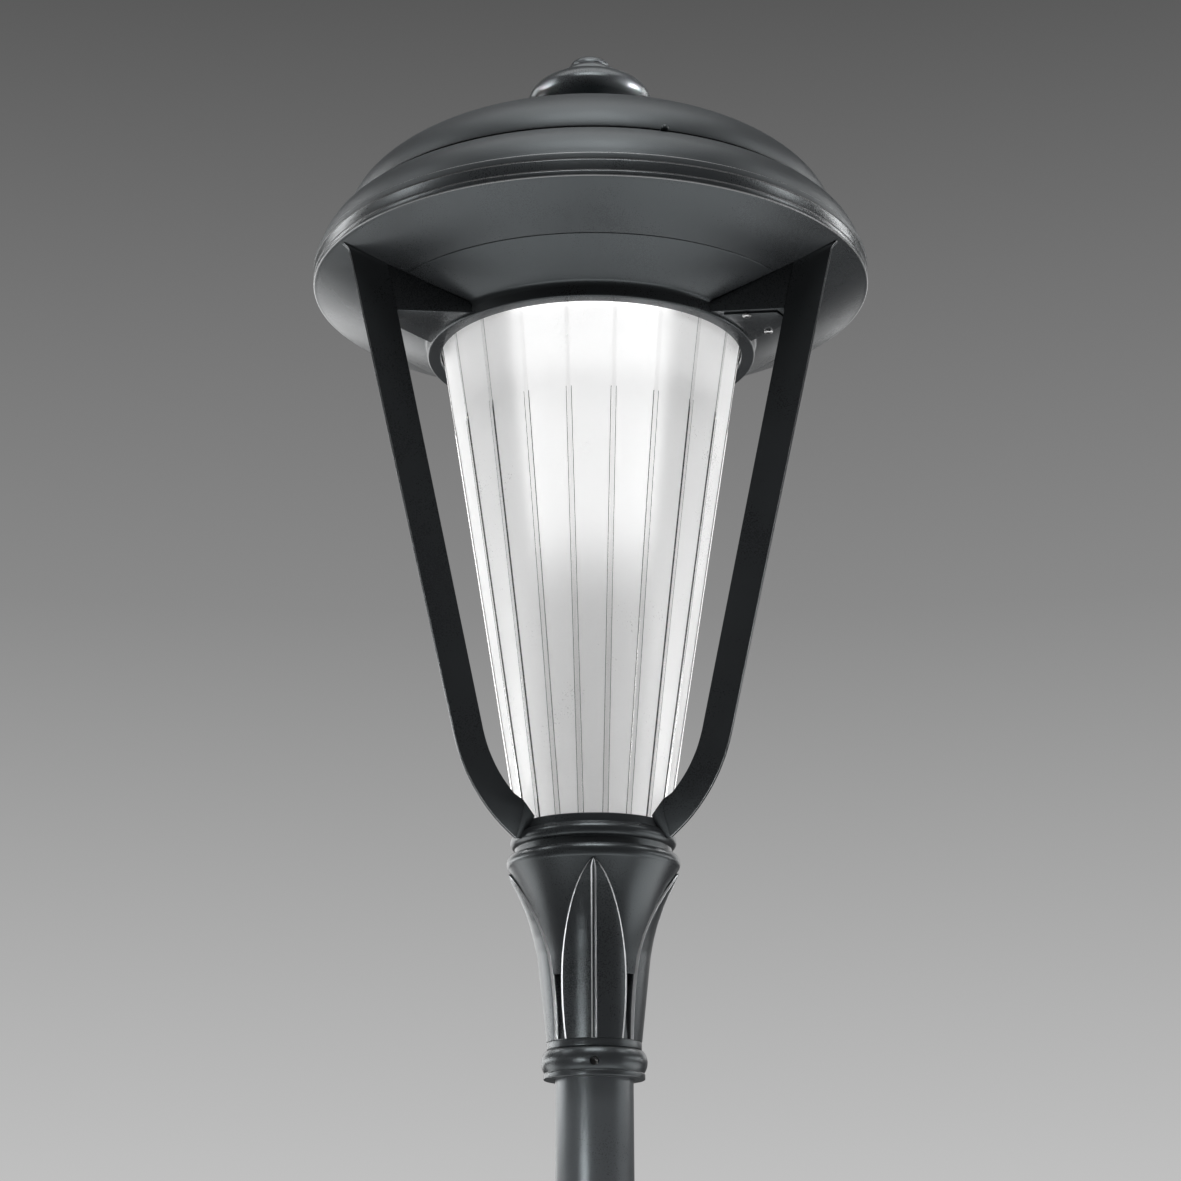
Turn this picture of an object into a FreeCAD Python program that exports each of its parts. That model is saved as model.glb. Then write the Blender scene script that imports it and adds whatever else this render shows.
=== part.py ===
"""LED street lantern on a pole top: parametric source of every sub-part, in millimetres.

The frame: Z is the pole's axis and points up, z = 0 is the lower edge of the neck's collar,
and the front is -Y.
Three arms stand at -30, 90 and 210 degrees about Z, four leaves at the four quarters.
"""

import FreeCAD
import Part
import Sketcher
import math
import os

doc = FreeCAD.newDocument("LedStreetLantern")
sheet = doc.addObject("Spreadsheet::Sheet", "Dimensions")
vector = FreeCAD.Vector
UP = vector(0, 0, 1)


class Dim:
    """A length or angle with its number now and its formula in the sheet."""

    def __init__(self, value, formula):
        self.value = float(value)
        self.formula = formula

    def __add__(self, other):
        other = as_dim(other)
        return Dim(self.value + other.value, f"({self.formula} + {other.formula})")

    def __radd__(self, other):
        return as_dim(other) + self

    def __sub__(self, other):
        other = as_dim(other)
        return Dim(self.value - other.value, f"({self.formula} - {other.formula})")

    def __rsub__(self, other):
        return as_dim(other) - self

    def __mul__(self, other):
        other = as_dim(other)
        return Dim(self.value * other.value, f"({self.formula} * {other.formula})")

    def __rmul__(self, other):
        return as_dim(other) * self

    def __truediv__(self, other):
        other = as_dim(other)
        return Dim(self.value / other.value, f"({self.formula} / {other.formula})")


def as_dim(thing):
    """Gives a plain number the form of a dimension."""
    if isinstance(thing, Dim):
        return thing
    return Dim(thing, f"({float(thing):.6g})")


sheet_rows = 0


def dim(alias, size):
    """Adds one dimension to the sheet, a number or a formula of earlier ones, and returns it."""
    global sheet_rows
    sheet_rows += 1
    size = as_dim(size)
    sheet.set(f"A{sheet_rows}", alias.replace("_", " "))
    sheet.set(f"B{sheet_rows}", "=" + size.formula.replace("Dimensions.", ""))
    sheet.setAlias(f"B{sheet_rows}", alias)
    return Dim(size.value, f"Dimensions.{alias}")


# Fits between separate pieces
slip_gap = dim("slip_gap", 0.4)
screw_gap = dim("screw_gap", 0.1)

# Pole top and neck casting
pole_radius = dim("pole_radius", 38)
pole_wall = dim("pole_wall", 3)
pole_drop = dim("pole_drop", 120)
pole_chamfer = dim("pole_chamfer", 1)
collar_band_radius = dim("collar_band_radius", pole_radius + 11.4)
collar_band_top = dim("collar_band_top", 5)
collar_roll_foot = dim("collar_roll_foot", pole_radius + 10.2)
collar_roll_low = dim("collar_roll_low", collar_band_top + 1)
collar_roll_high = dim("collar_roll_high", collar_roll_low + 20.5)
collar_roll_round = dim("collar_roll_round", 16.6)
collar_bead_radius = dim("collar_bead_radius", pole_radius + 8.3)
collar_top = dim("collar_top", collar_roll_high + 9.5)
core_radius = dim("core_radius", pole_radius + 5)
socket_floor = dim("socket_floor", collar_top + 57)
cable_hole_radius = dim("cable_hole_radius", core_radius - 17)
bell_edge = dim("bell_edge", collar_top + 62)
bell_recess = dim("bell_recess", bell_edge + 10)
bell_inner_edge = dim("bell_inner_edge", core_radius + 4.2)
bell_floor = dim("bell_floor", bell_recess + 6)
bell_flare = dim("bell_flare", 218.5)
bell_wall = dim("bell_wall", 6)
bell_edge_radius = dim("bell_edge_radius", bell_inner_edge + 3.13)
bell_top_radius = dim("bell_top_radius", bell_edge_radius + 33.66)
bell_top = dim("bell_top", bell_edge + 107)
lip_round = dim("lip_round", 9.3)
lip_top_radius = dim("lip_top_radius", bell_top_radius - 0.99)
lip_top = dim("lip_top", bell_top + 13)
mouth_radius = dim("mouth_radius", bell_top_radius - 8.39)
mouth_low = dim("mouth_low", bell_top - 2.1)
bell_floor_radius = dim("bell_floor_radius", bell_inner_edge - 1.6)
leaf_flare = dim("leaf_flare", 215)
leaf_foot_radius = dim("leaf_foot_radius", core_radius + 3.7)
leaf_waist_radius = dim("leaf_waist_radius", bell_edge_radius + 3.94)
leaf_waist = dim("leaf_waist", bell_edge + 7)
leaf_crest_radius = dim("leaf_crest_radius", bell_top_radius - 1.99)
leaf_crest = dim("leaf_crest", bell_top - 10.14)
leaf_tip = dim("leaf_tip", bell_top - 3)
leaf_half = dim("leaf_half", 32)
leaf_foot_half = dim("leaf_foot_half", leaf_half - 3.5)
leaf_broad = dim("leaf_broad", bell_edge - 3)
leaf_arch = dim("leaf_arch", 194.9)
leaf_side_round = dim("leaf_side_round", 500)
groove_half = dim("groove_half", 2.1)
groove_depth = dim("groove_depth", 1.8)
grub_radius = dim("grub_radius", 3.9)
grub_height = dim("grub_height", collar_roll_low + 7)
grub_length = dim("grub_length", collar_band_radius - pole_radius - 1.9)
grub_hex = dim("grub_hex", 2.3)

# Base cup
cup_valley = dim("cup_valley", lip_top_radius - 5)
cup_register_low = dim("cup_register_low", lip_top - 6)
cup_cavity = dim("cup_cavity", mouth_radius - 5.6)
cup_under = dim("cup_under", lip_top + 10)
cup_floor = dim("cup_floor", lip_top + 16)
cup_roll_low = dim("cup_roll_low", lip_top + 8)
cup_roll_high = dim("cup_roll_high", cup_roll_low + 13)
cup_roll_foot = dim("cup_roll_foot", cup_valley + 1)
cup_roll_round = dim("cup_roll_round", 7.7)
cup_rim_radius = dim("cup_rim_radius", cup_valley + 0.2)
cup_rim_top = dim("cup_rim_top", cup_roll_high + 9)
cup_inner = dim("cup_inner", cup_rim_radius - 1.9)
lug_top = dim("lug_top", cup_rim_top + 15)
lug_low = dim("lug_low", cup_rim_top + 1.5)
lug_half = dim("lug_half", 18.9)
lug_foot_half = dim("lug_foot_half", 1.6)
lug_foot = dim("lug_foot", lip_top + 11.7)

# Heights and radii that the canopy, the tray and the arms share
tray_bottom = dim("tray_bottom", 748)
tray_hole = dim("tray_hole", 157.5)
tray_inner = dim("tray_inner", tray_hole + 10.5)
tray_outer = dim("tray_outer", tray_hole + 14)
rim_radius = dim("rim_radius", 292)
cone_edge_radius = dim("cone_edge_radius", rim_radius - 3.7)
cone_edge = dim("cone_edge", tray_bottom + 71.6)
cone_foot_radius = dim("cone_foot_radius", tray_outer + 2.5)
cone_foot = dim("cone_foot", tray_bottom + 16.222)
cone_slope = dim("cone_slope", (cone_edge - cone_foot) / (cone_edge_radius - cone_foot_radius))

# Arms: the V-shaped section moves along this line in the arm's own plane
arm_half_angle = 24.0
arm_toe_radius = dim("arm_toe_radius", cup_valley + 0.3)
arm_toe = dim("arm_toe", lip_top + 2.7)
arm_heel_radius = dim("arm_heel_radius", arm_toe_radius + 16.14)
arm_heel = dim("arm_heel", arm_toe + 11.04)
arm_bend = dim("arm_bend", 165)
arm_bend_radius = dim("arm_bend_radius", arm_heel_radius + 65.22)
arm_bend_top = dim("arm_bend_top", arm_heel + 94.29)
arm_lean = dim("arm_lean", (rim_radius - 6.13 - arm_bend_radius) / (cone_edge - arm_bend_top))
arm_head = dim("arm_head", cone_edge + 10.4)
arm_wall_run = dim("arm_wall_run", 12.3)
arm_nose = dim("arm_nose", 3.5)
arm_joint = dim("arm_joint", cup_valley + 10)
arm_back_radius = dim("arm_back_radius", arm_bend_radius - 28.66)
arm_back = dim("arm_back", arm_bend_top + 4.47)
arm_back_bend = dim("arm_back_bend", 132)
arm_back_lean = dim("arm_back_lean", (rim_radius - 41.86 - arm_back_radius) / (cone_edge - arm_back))
arm_back_foot_radius = dim("arm_back_foot_radius", arm_joint + 3.1)
arm_back_foot = dim("arm_back_foot", lug_top + 0.7)
arm_foot_plate = dim("arm_foot_plate", 7)
arm_head_plug = dim("arm_head_plug", cone_edge - 37.6)
arm_screw_station = dim("arm_screw_station", rim_radius - 36)
arm_screw_radius = dim("arm_screw_radius", 3)

# Canopy: rim, bead and dome
rim_inner = dim("rim_inner", rim_radius - 16)
rim_bevel = dim("rim_bevel", 1)
band_low = dim("band_low", cone_edge + 6.9)
band_high = dim("band_high", band_low + 11.5)
seam_radius = dim("seam_radius", rim_radius - 64.8)
ledge_radius = dim("ledge_radius", seam_radius - 13.2)
sheet_rise = dim("sheet_rise", 4.5)
ledge_rise = dim("ledge_rise", 5)
bead_foot = dim("bead_foot", band_high + 8)
bead_foot_radius = dim("bead_foot_radius", rim_radius - 3.7)
bead_round = dim("bead_round", 49.3)
bead_top_radius = dim("bead_top_radius", bead_foot_radius - 26.3)
bead_top = dim("bead_top", bead_foot + 40)
bead_inner_round = dim("bead_inner_round", bead_round - 5)
bead_inner_foot = dim("bead_inner_foot", bead_foot_radius - 5)
bead_inner_top = dim("bead_inner_top", bead_top_radius + 0.6)
seat_radius = dim("seat_radius", bead_top_radius - 14)
seat_height = dim("seat_height", bead_top + 1)
dome_foot = dim("dome_foot", seat_height + 2)
dome_radius = dim("dome_radius", bead_top_radius - 2.5)
dome_rise = dim("dome_rise", 102.7)
dome_wall = dim("dome_wall", 4)
dome_foot_wall = dim("dome_foot_wall", 6)
stud_radius = dim("stud_radius", 4)
finial_foot = dim("finial_foot", 46)
catch_angle = -74.0

# Lamp tray and diffuser
tray_floor = dim("tray_floor", tray_bottom + 4)
tray_top = dim("tray_top", tray_bottom + 22.6)
tray_flat = dim("tray_flat", tray_hole + 20.5)
bracket_floor = dim("bracket_floor", tray_bottom + 3)
bracket_wall = dim("bracket_wall", 4)
cover_thickness = dim("cover_thickness", 2.5)
cover_screw_station = dim("cover_screw_station", tray_outer + 24)
cover_screw_radius = dim("cover_screw_radius", 2)
cover_head_radius = dim("cover_head_radius", 4.6)
flute_count = 20
diffuser_foot = dim("diffuser_foot", cup_floor + 4)
diffuser_foot_radius = dim("diffuser_foot_radius", cup_inner - 2.1)
diffuser_head = dim("diffuser_head", tray_floor + 4)
diffuser_head_radius = dim("diffuser_head_radius", tray_hole - 0.3)
diffuser_wall = dim("diffuser_wall", 3)
flange_radius = dim("flange_radius", tray_inner - 1.5)
seal_height = dim("seal_height", 3)
foot_seal_inner = dim("foot_seal_inner", cup_inner - 12.3)

# Light source and gear inside the canopy
sink_bottom = dim("sink_bottom", diffuser_head + seal_height)
sink_top = dim("sink_top", sink_bottom + 8)
sink_flange_top = dim("sink_flange_top", tray_top + 4.4)
sink_flange_radius = dim("sink_flange_radius", tray_flat - 1.5)
fin_pitch = dim("fin_pitch", 24)
fin_thickness = dim("fin_thickness", 3)
fin_height = dim("fin_height", 28)
lens_radius = dim("lens_radius", tray_hole - 29.5)
board_radius = dim("board_radius", lens_radius - 10)
board_thickness = dim("board_thickness", 1.6)
chip_side = dim("chip_side", 7)
chip_height = dim("chip_height", 1.4)
lens_bottom = dim("lens_bottom", sink_bottom - 7.5)
lens_thickness = dim("lens_thickness", 2.5)
lens_wall = dim("lens_wall", 3.5)
gear_height = dim("gear_height", sink_top + 45)
gear_length = dim("gear_length", 240)
gear_width = dim("gear_width", 160)
gear_thickness = dim("gear_thickness", 2)
post_radius = dim("post_radius", 5)
driver_length = dim("driver_length", 160)
driver_width = dim("driver_width", 62)
driver_height = dim("driver_height", 38)
doc.recompute()


def cone_height(radius):
    """Height of the conical underside at a radius."""
    return cone_edge - cone_slope * (cone_edge_radius - radius)


def arm_line(height):
    """Radius of the straight part of the arm's outer line at a height."""
    return arm_bend_radius + arm_lean * (height - arm_bend_top)


def arm_back_line(height):
    """Radius of the straight part of the arm's inner line at a height."""
    return arm_back_radius + arm_back_lean * (height - arm_back)


def dome_drop(radius):
    """How far the dome falls from its crown to a radius."""
    share = radius / dome_radius
    value = dome_rise.value * (1 - math.sqrt(1 - share.value ** 2))
    return Dim(value, f"({dome_rise.formula} * (1 - sqrt(1 - {share.formula} ^ 2)))")


def draw(sketch, outline):
    """Draws a closed outline and ties each corner to the sheet.

    An entry is (x, y) for a straight edge to the next corner, or (x, y, radius, side) for a round one;
    side 1 bulges to the left of the way to the next corner, -1 to the right.
    """
    corners = [(as_dim(entry[0]), as_dim(entry[1])) for entry in outline]
    places = [vector(x.value, y.value, 0) for x, y in corners]
    count = len(outline)
    starts = []
    for index, entry in enumerate(outline):
        start = places[index]
        end = places[(index + 1) % count]
        if len(entry) == 2:
            sketch.addGeometry(Part.LineSegment(start, end), False)
            starts.append(1)
            continue
        radius = as_dim(entry[2]).value
        chord = end - start
        reach = math.sqrt(radius * radius - chord.Length ** 2 / 4)
        left = vector(-chord.y, chord.x, 0).normalize()
        centre = (start + end) * 0.5 - left * (reach * entry[3])
        first, last = (start, end) if entry[3] < 0 else (end, start)
        first_angle = math.atan2(first.y - centre.y, first.x - centre.x)
        last_angle = math.atan2(last.y - centre.y, last.x - centre.x)
        if last_angle < first_angle:
            last_angle += 2 * math.pi
        circle = Part.Circle(centre, UP, radius)
        sketch.addGeometry(Part.ArcOfCircle(circle, first_angle, last_angle), False)
        starts.append(1 if entry[3] < 0 else 2)
    for index in range(count):
        following = (index + 1) % count
        sketch.addConstraint(
            Sketcher.Constraint("Coincident", index, 3 - starts[index], following, starts[following]))
    for index, (x, y) in enumerate(corners):
        for kind, length in (("DistanceX", x), ("DistanceY", y)):
            row = sketch.addConstraint(
                Sketcher.Constraint(kind, -1, 1, index, starts[index], length.value))
            sketch.setExpression(f"Constraints[{row}]", length.formula)
        if len(outline[index]) > 2:
            radius = as_dim(outline[index][2])
            row = sketch.addConstraint(Sketcher.Constraint("Radius", index, radius.value))
            sketch.setExpression(f"Constraints[{row}]", radius.formula)


PLANES = {
    "XZ": FreeCAD.Rotation(vector(1, 0, 0), 90),
    "YZ": FreeCAD.Rotation(vector(1, 1, 1), 120),
    "XY": FreeCAD.Rotation(),
}


def free_sketch(label, plane, outline):
    """A sketch on one of the main planes, for the boolean trees."""
    sketch = doc.addObject("Sketcher::SketchObject", label)
    sketch.Placement = FreeCAD.Placement(vector(), PLANES[plane])
    draw(sketch, outline)
    return sketch


def turned_body(label, outline):
    """A body turned about Z from a profile of (radius, height) corners."""
    body = doc.addObject("PartDesign::Body", label)
    sketch = body.newObject("Sketcher::SketchObject", label + "_profile")
    sketch.AttachmentSupport = (body.Origin.OriginFeatures[4], [""])
    sketch.MapMode = "FlatFace"
    draw(sketch, outline)
    turned = body.newObject("PartDesign::Revolution", label + "_turned")
    turned.Profile = sketch
    turned.ReferenceAxis = (sketch, ["V_Axis"])
    turned.Angle = 360
    body.Tip = turned
    return body


def revolved(label, outline):
    """A solid of revolution for the boolean trees."""
    sketch = free_sketch(label + "_profile", "XZ", outline)
    solid = doc.addObject("Part::Revolution", label)
    solid.Source = sketch
    solid.Axis = UP
    solid.Base = vector()
    solid.Angle = 360
    solid.Solid = True
    return solid


def extruded(label, sketch, direction, forward, backward=0.0):
    """A sketch pushed along a direction, square to its plane or not."""
    solid = doc.addObject("Part::Extrusion", label)
    solid.Base = sketch
    solid.DirMode = "Custom"
    solid.Dir = direction
    solid.Solid = True
    return bind(solid, LengthFwd=forward, LengthRev=backward)


def fused(label, pieces):
    solid = doc.addObject("Part::MultiFuse", label)
    solid.Shapes = pieces
    return solid


def common(label, pieces):
    solid = doc.addObject("Part::MultiCommon", label)
    solid.Shapes = pieces
    return solid


def cut(label, base, tool):
    solid = doc.addObject("Part::Cut", label)
    solid.Base = base
    solid.Tool = tool
    return solid


def group(label, pieces):
    """Several solids as one object with its own placement."""
    solid = doc.addObject("Part::Compound", label)
    solid.Links = pieces
    return solid


def turned_copy(label, piece, angle):
    """The same shape turned about Z."""
    solid = group(label, [piece])
    solid.Placement = FreeCAD.Placement(vector(), FreeCAD.Rotation(UP, angle))
    return solid


def bind(item, **formulas):
    """Ties properties of an object to the sheet."""
    for name, length in formulas.items():
        item.setExpression(name, as_dim(length).formula)
    return item


def put(item, foot, rotation):
    """Places an object at a point that follows the sheet."""
    item.Placement = FreeCAD.Placement(vector(*(as_dim(part).value for part in foot)), rotation)
    for axis, part in zip("xyz", foot):
        if isinstance(part, Dim):
            item.setExpression(f"Placement.Base.{axis}", part.formula)
    return item


def rod(label, radius, length, foot, direction=UP):
    """A cylinder from a foot point along a direction."""
    item = put(doc.addObject("Part::Cylinder", label), foot, FreeCAD.Rotation(UP, direction))
    return bind(item, Radius=radius, Height=length)


def block(label, size, corner):
    """A box with its low corner at a point."""
    item = put(doc.addObject("Part::Box", label), corner, FreeCAD.Rotation())
    return bind(item, Length=size[0], Width=size[1], Height=size[2])


def ring_points(radius, angles, height):
    """Points on a circle about Z."""
    return [(radius * math.cos(math.radians(a)), radius * math.sin(math.radians(a)), height) for a in angles]


ARM_ANGLES = {"right": -30.0, "rear": 90.0, "left": 210.0}
LEG_SIDES = {"front": 1.0, "back": -1.0}
nodes = {}

# Pole top
pole_bore = pole_radius - pole_wall
nodes["pole_stub"] = turned_body("pole_stub", [
    (pole_bore, -1 * pole_drop),
    (pole_radius - pole_chamfer, -1 * pole_drop),
    (pole_radius, pole_chamfer - pole_drop),
    (pole_radius, socket_floor),
    (pole_bore, socket_floor),
])

# Neck casting: collar, core, bell, leaves with their grooves, and the set screws' holes
socket_radius = pole_radius + slip_gap
neck_turned = revolved("neck_turned", [
    (socket_radius, 0),
    (collar_band_radius - 1, 0),
    (collar_band_radius, 1),
    (collar_band_radius, collar_band_top),
    (collar_roll_foot, collar_roll_low, collar_roll_round, -1),
    (collar_roll_foot, collar_roll_high),
    (collar_bead_radius - 1.1, collar_roll_high + 1),
    (collar_bead_radius, collar_roll_high + 2.1),
    (collar_bead_radius, collar_top - 1),
    (collar_bead_radius - 1, collar_top),
    (core_radius, collar_top),
    (core_radius, bell_recess),
    (bell_inner_edge, bell_recess),
    (bell_inner_edge, bell_edge),
    (bell_edge_radius, bell_edge, bell_flare, 1),
    (bell_top_radius, bell_top, lip_round, -1),
    (lip_top_radius, lip_top),
    (mouth_radius, lip_top),
    (mouth_radius, mouth_low, bell_flare + bell_wall, -1),
    (bell_floor_radius, bell_floor),
    (cable_hole_radius, bell_floor),
    (cable_hole_radius, socket_floor),
    (socket_radius, socket_floor),
])
leaf_blank = revolved("leaf_blank", [
    (core_radius - 1, collar_top - 0.5),
    (leaf_foot_radius, collar_top - 0.5),
    (leaf_waist_radius, leaf_waist, leaf_flare, 1),
    (leaf_crest_radius, leaf_crest),
    (leaf_crest_radius, leaf_tip),
    (leaf_crest_radius - 4, leaf_tip),
    (bell_inner_edge + 1, bell_floor - 2),
    (core_radius - 1, bell_floor - 2),
])
leaf_reach = leaf_crest_radius + 28
leaf_outline = [
    (leaf_foot_half, collar_top - 1, leaf_side_round, -1),
    (leaf_half, leaf_broad, leaf_arch, -1),
    (0, leaf_tip, leaf_arch, -1),
    (-1 * leaf_half, leaf_broad, leaf_side_round, -1),
    (-1 * leaf_foot_half, collar_top - 1),
]
leaf_sketch_front = free_sketch("leaf_outline_front", "XZ", leaf_outline)
leaf_prism_front = extruded("leaf_prism_front", leaf_sketch_front, vector(0, 1, 0), leaf_reach, leaf_reach)
leaf_sketch_side = free_sketch("leaf_outline_side", "YZ", leaf_outline)
leaf_prism_side = extruded("leaf_prism_side", leaf_sketch_side, vector(1, 0, 0), leaf_reach, leaf_reach)
leaf_prisms = fused("leaf_prisms", [leaf_prism_front, leaf_prism_side])
leaves = common("leaves", [leaf_blank, leaf_prisms])
groove_blank = revolved("groove_blank", [
    (leaf_foot_radius - groove_depth, collar_top + 1.5),
    (leaf_waist_radius - groove_depth, leaf_waist, leaf_flare + groove_depth, 1),
    (leaf_crest_radius - groove_depth, leaf_crest),
    (leaf_crest_radius + 4, leaf_crest),
    (leaf_waist_radius + 6, collar_top + 1.5),
])
groove_plate_front = block("groove_plate_front", (2 * groove_half, 2 * leaf_reach, leaf_tip),
                           (-1 * groove_half, -1 * leaf_reach, 0))
groove_plate_side = block("groove_plate_side", (2 * leaf_reach, 2 * groove_half, leaf_tip),
                          (-1 * leaf_reach, -1 * groove_half, 0))
groove_plates = fused("groove_plates", [groove_plate_front, groove_plate_side])
grooves = common("grooves", [groove_blank, groove_plates])
GRUB_ANGLES = (-90.0, 30.0, 150.0)
grub_holes = []
for number, angle in enumerate(GRUB_ANGLES):
    out = vector(math.cos(math.radians(angle)), math.sin(math.radians(angle)), 0)
    start = pole_radius - 8
    foot = (start * out.x, start * out.y, grub_height)
    grub_holes.append(rod(f"grub_hole_{number}", grub_radius + screw_gap, 30, foot, out))
neck_blank = fused("neck_blank", [neck_turned, leaves])
nodes["neck_casting"] = cut("neck_casting", neck_blank, group("neck_cuts", [grooves] + grub_holes))

grubs = []
for number, angle in enumerate(GRUB_ANGLES):
    out = vector(math.cos(math.radians(angle)), math.sin(math.radians(angle)), 0)
    shank_foot = (pole_radius * out.x, pole_radius * out.y, grub_height)
    shank = rod(f"grub_shank_{number}", grub_radius, grub_length, shank_foot, out)
    socket = doc.addObject("Part::Prism", f"grub_socket_{number}")
    socket.Polygon = 6
    depth = pole_radius + grub_length - 4
    put(socket, (depth * out.x, depth * out.y, grub_height), FreeCAD.Rotation(UP, out))
    bind(socket, Circumradius=grub_hex, Height=8)
    grubs.append(cut(f"grub_screw_{number}", shank, socket))
nodes["grub_screws"] = group("grub_screws", grubs)

# Arm wedges: filled and hollow V sections along the arm's line
leg_angle = math.radians(arm_half_angle)
nose_start = arm_toe + (arm_joint + arm_nose - arm_toe_radius) * 0.684


def leg_band(label, run):
    """The band in the arm's plane that each leg of the V is pushed from."""
    return free_sketch(label, "XZ", [
        (arm_toe_radius, arm_toe),
        (arm_heel_radius, arm_heel, arm_bend, -1),
        (arm_bend_radius, arm_bend_top),
        (arm_line(arm_head), arm_head),
        (arm_line(arm_head) - run, arm_head),
        (arm_bend_radius - run, arm_bend_top, arm_bend, 1),
        (arm_heel_radius - run, arm_heel),
        (arm_toe_radius - run, arm_toe),
    ])


def vee(label, run, length):
    """Both legs of the V, in the plane of the arm at angle 0."""
    legs = []
    for side, sign in LEG_SIDES.items():
        direction = vector(-math.cos(leg_angle), sign * math.sin(leg_angle), 0)
        band = leg_band(f"{label}_{side}_band", run)
        legs.append(extruded(f"{label}_{side}", band, direction, length))
    return fused(label, legs)


def side_slab(label, outline, half):
    """A side view of the arm's plane given width both ways."""
    return extruded(label, free_sketch(label + "_outline", "XZ", outline), vector(0, 1, 0), half, half)


above_cone = revolved("above_cone", [
    (tray_hole - 57.5, cone_height(tray_hole - 57.5)),
    (cone_edge_radius + 20, cone_height(cone_edge_radius + 20)),
    (cone_edge_radius + 20, arm_head + 40),
    (tray_hole - 57.5, arm_head + 40),
])
arm_channel = vee("arm_channel", arm_wall_run, 70)
arm_solid = vee("arm_solid", as_dim(70), 60)
arm_ends = fused("arm_ends", [
    block("arm_foot_block", (arm_foot_plate, 60, 60), (arm_joint, -30, lip_top - 3)),
    block("arm_head_block", (160, 90, 60), (rim_radius - 112, -45, arm_head_plug)),
])
arm_plugs = common("arm_plugs", [arm_solid, arm_ends])
arm_slab = side_slab("arm_slab", [
    (arm_joint, nose_start),
    (arm_heel_radius - arm_nose, arm_heel, arm_bend, -1),
    (arm_bend_radius - arm_nose, arm_bend_top),
    (arm_line(arm_head) - arm_nose, arm_head),
    (arm_back_line(arm_head), arm_head),
    (arm_back_radius, arm_back, arm_back_bend, 1),
    (arm_back_foot_radius, arm_back_foot),
    (arm_joint, lug_top),
], 60)
arm_blank = common("arm_blank", [fused("arm_walls", [arm_channel, arm_plugs]), arm_slab])
arm_screw_foot = cone_edge - 39.6
arm_screw_seat = cone_height(arm_screw_station) + 4.55
arm_screw_hole = rod(
    "arm_screw_hole", arm_screw_radius + screw_gap, 60, (arm_screw_station, 0, arm_screw_foot))
arm_master = cut("arm_master", arm_blank, group("arm_cuts", [above_cone, arm_screw_hole]))
for name, angle in ARM_ANGLES.items():
    nodes[f"arm_{name}"] = turned_copy(f"arm_{name}", arm_master, angle)

# Base cup with a lug behind each arm's foot
cup_turned = revolved("cup_turned", [
    (cup_cavity, cup_register_low),
    (mouth_radius - slip_gap, cup_register_low),
    (mouth_radius - slip_gap, lip_top),
    (cup_valley - 0.6, lip_top),
    (cup_valley, lip_top + 0.6),
    (cup_valley, cup_roll_low - 0.8),
    (cup_roll_foot, cup_roll_low, cup_roll_round, -1),
    (cup_roll_foot, cup_roll_high),
    (cup_rim_radius, cup_roll_high + 0.8),
    (cup_rim_radius, cup_rim_top - 1),
    (cup_rim_radius - 1, cup_rim_top),
    (cup_inner, cup_rim_top),
    (cup_inner, cup_floor),
    (0, cup_floor),
    (0, cup_under),
    (cup_cavity, cup_under),
])
lug_prism = extruded("lug_prism", free_sketch("lug_section", "YZ", [
    (-1 * lug_foot_half, lug_foot),
    (lug_foot_half, lug_foot),
    (lug_half, lug_top),
    (-1 * lug_half, lug_top),
]), vector(1, 0, 0), arm_joint)
lug_slab = side_slab("lug_slab", [
    (cup_inner - 14, lug_foot - 2),
    (arm_joint, lug_foot - 2),
    (arm_joint, lug_top),
    (cup_valley, lug_low),
    (cup_inner - 14, lug_low),
], 40)
lug_master = common("lug_master", [lug_prism, lug_slab])
lugs = [turned_copy(f"lug_{name}", lug_master, angle) for name, angle in ARM_ANGLES.items()]
cup_blank = fused("cup_blank", [cup_turned] + lugs)
cup_well = rod("cup_well", cup_inner, 60, (0, 0, cup_floor))
nodes["base_cup"] = cut("base_cup", cup_blank, cup_well)

# Frame ring
screw_head = arm_screw_radius * 2
ring_cuts = []
for number, place in enumerate(ring_points(arm_screw_station, ARM_ANGLES.values(), arm_screw_seat)):
    ring_cuts.append(rod(
        f"ring_hole_{number}", arm_screw_radius + screw_gap, 60, (place[0], place[1], arm_screw_foot)))
    ring_cuts.append(rod(f"ring_seat_{number}", screw_head + 1, 30, place))
TRAY_SCREW_ANGLES = (0.0, 60.0, 120.0, 180.0, 240.0, 300.0)
tray_screw_station = seam_radius - 6.7
tray_screw_seat = cone_height(tray_screw_station) + 7.25
for number, place in enumerate(ring_points(tray_screw_station, TRAY_SCREW_ANGLES, tray_screw_seat)):
    ring_cuts.append(rod(
        f"ledge_hole_{number}", cover_screw_radius + screw_gap, 30, (place[0], place[1], place[2] - 24)))
    ring_cuts.append(rod(f"ledge_seat_{number}", cover_head_radius + 1, 12, place))
frame_turned = revolved("frame_turned", [
    (seam_radius + slip_gap, cone_height(seam_radius + slip_gap)),
    (cone_edge_radius, cone_edge),
    (rim_radius - 1.4, cone_edge + 0.8),
    (rim_radius, cone_edge + 2.2),
    (rim_radius, band_low - rim_bevel),
    (rim_radius - rim_bevel, band_low),
    (rim_inner, band_low),
    (rim_inner, cone_height(rim_inner) + sheet_rise + 1.5),
    (ledge_radius, cone_height(ledge_radius) + sheet_rise + ledge_rise),
    (ledge_radius, cone_height(ledge_radius) + sheet_rise),
    (seam_radius + slip_gap, cone_height(seam_radius + slip_gap) + sheet_rise),
])
nodes["frame_ring"] = cut("frame_ring", frame_turned, group("frame_cuts", ring_cuts))

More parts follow.
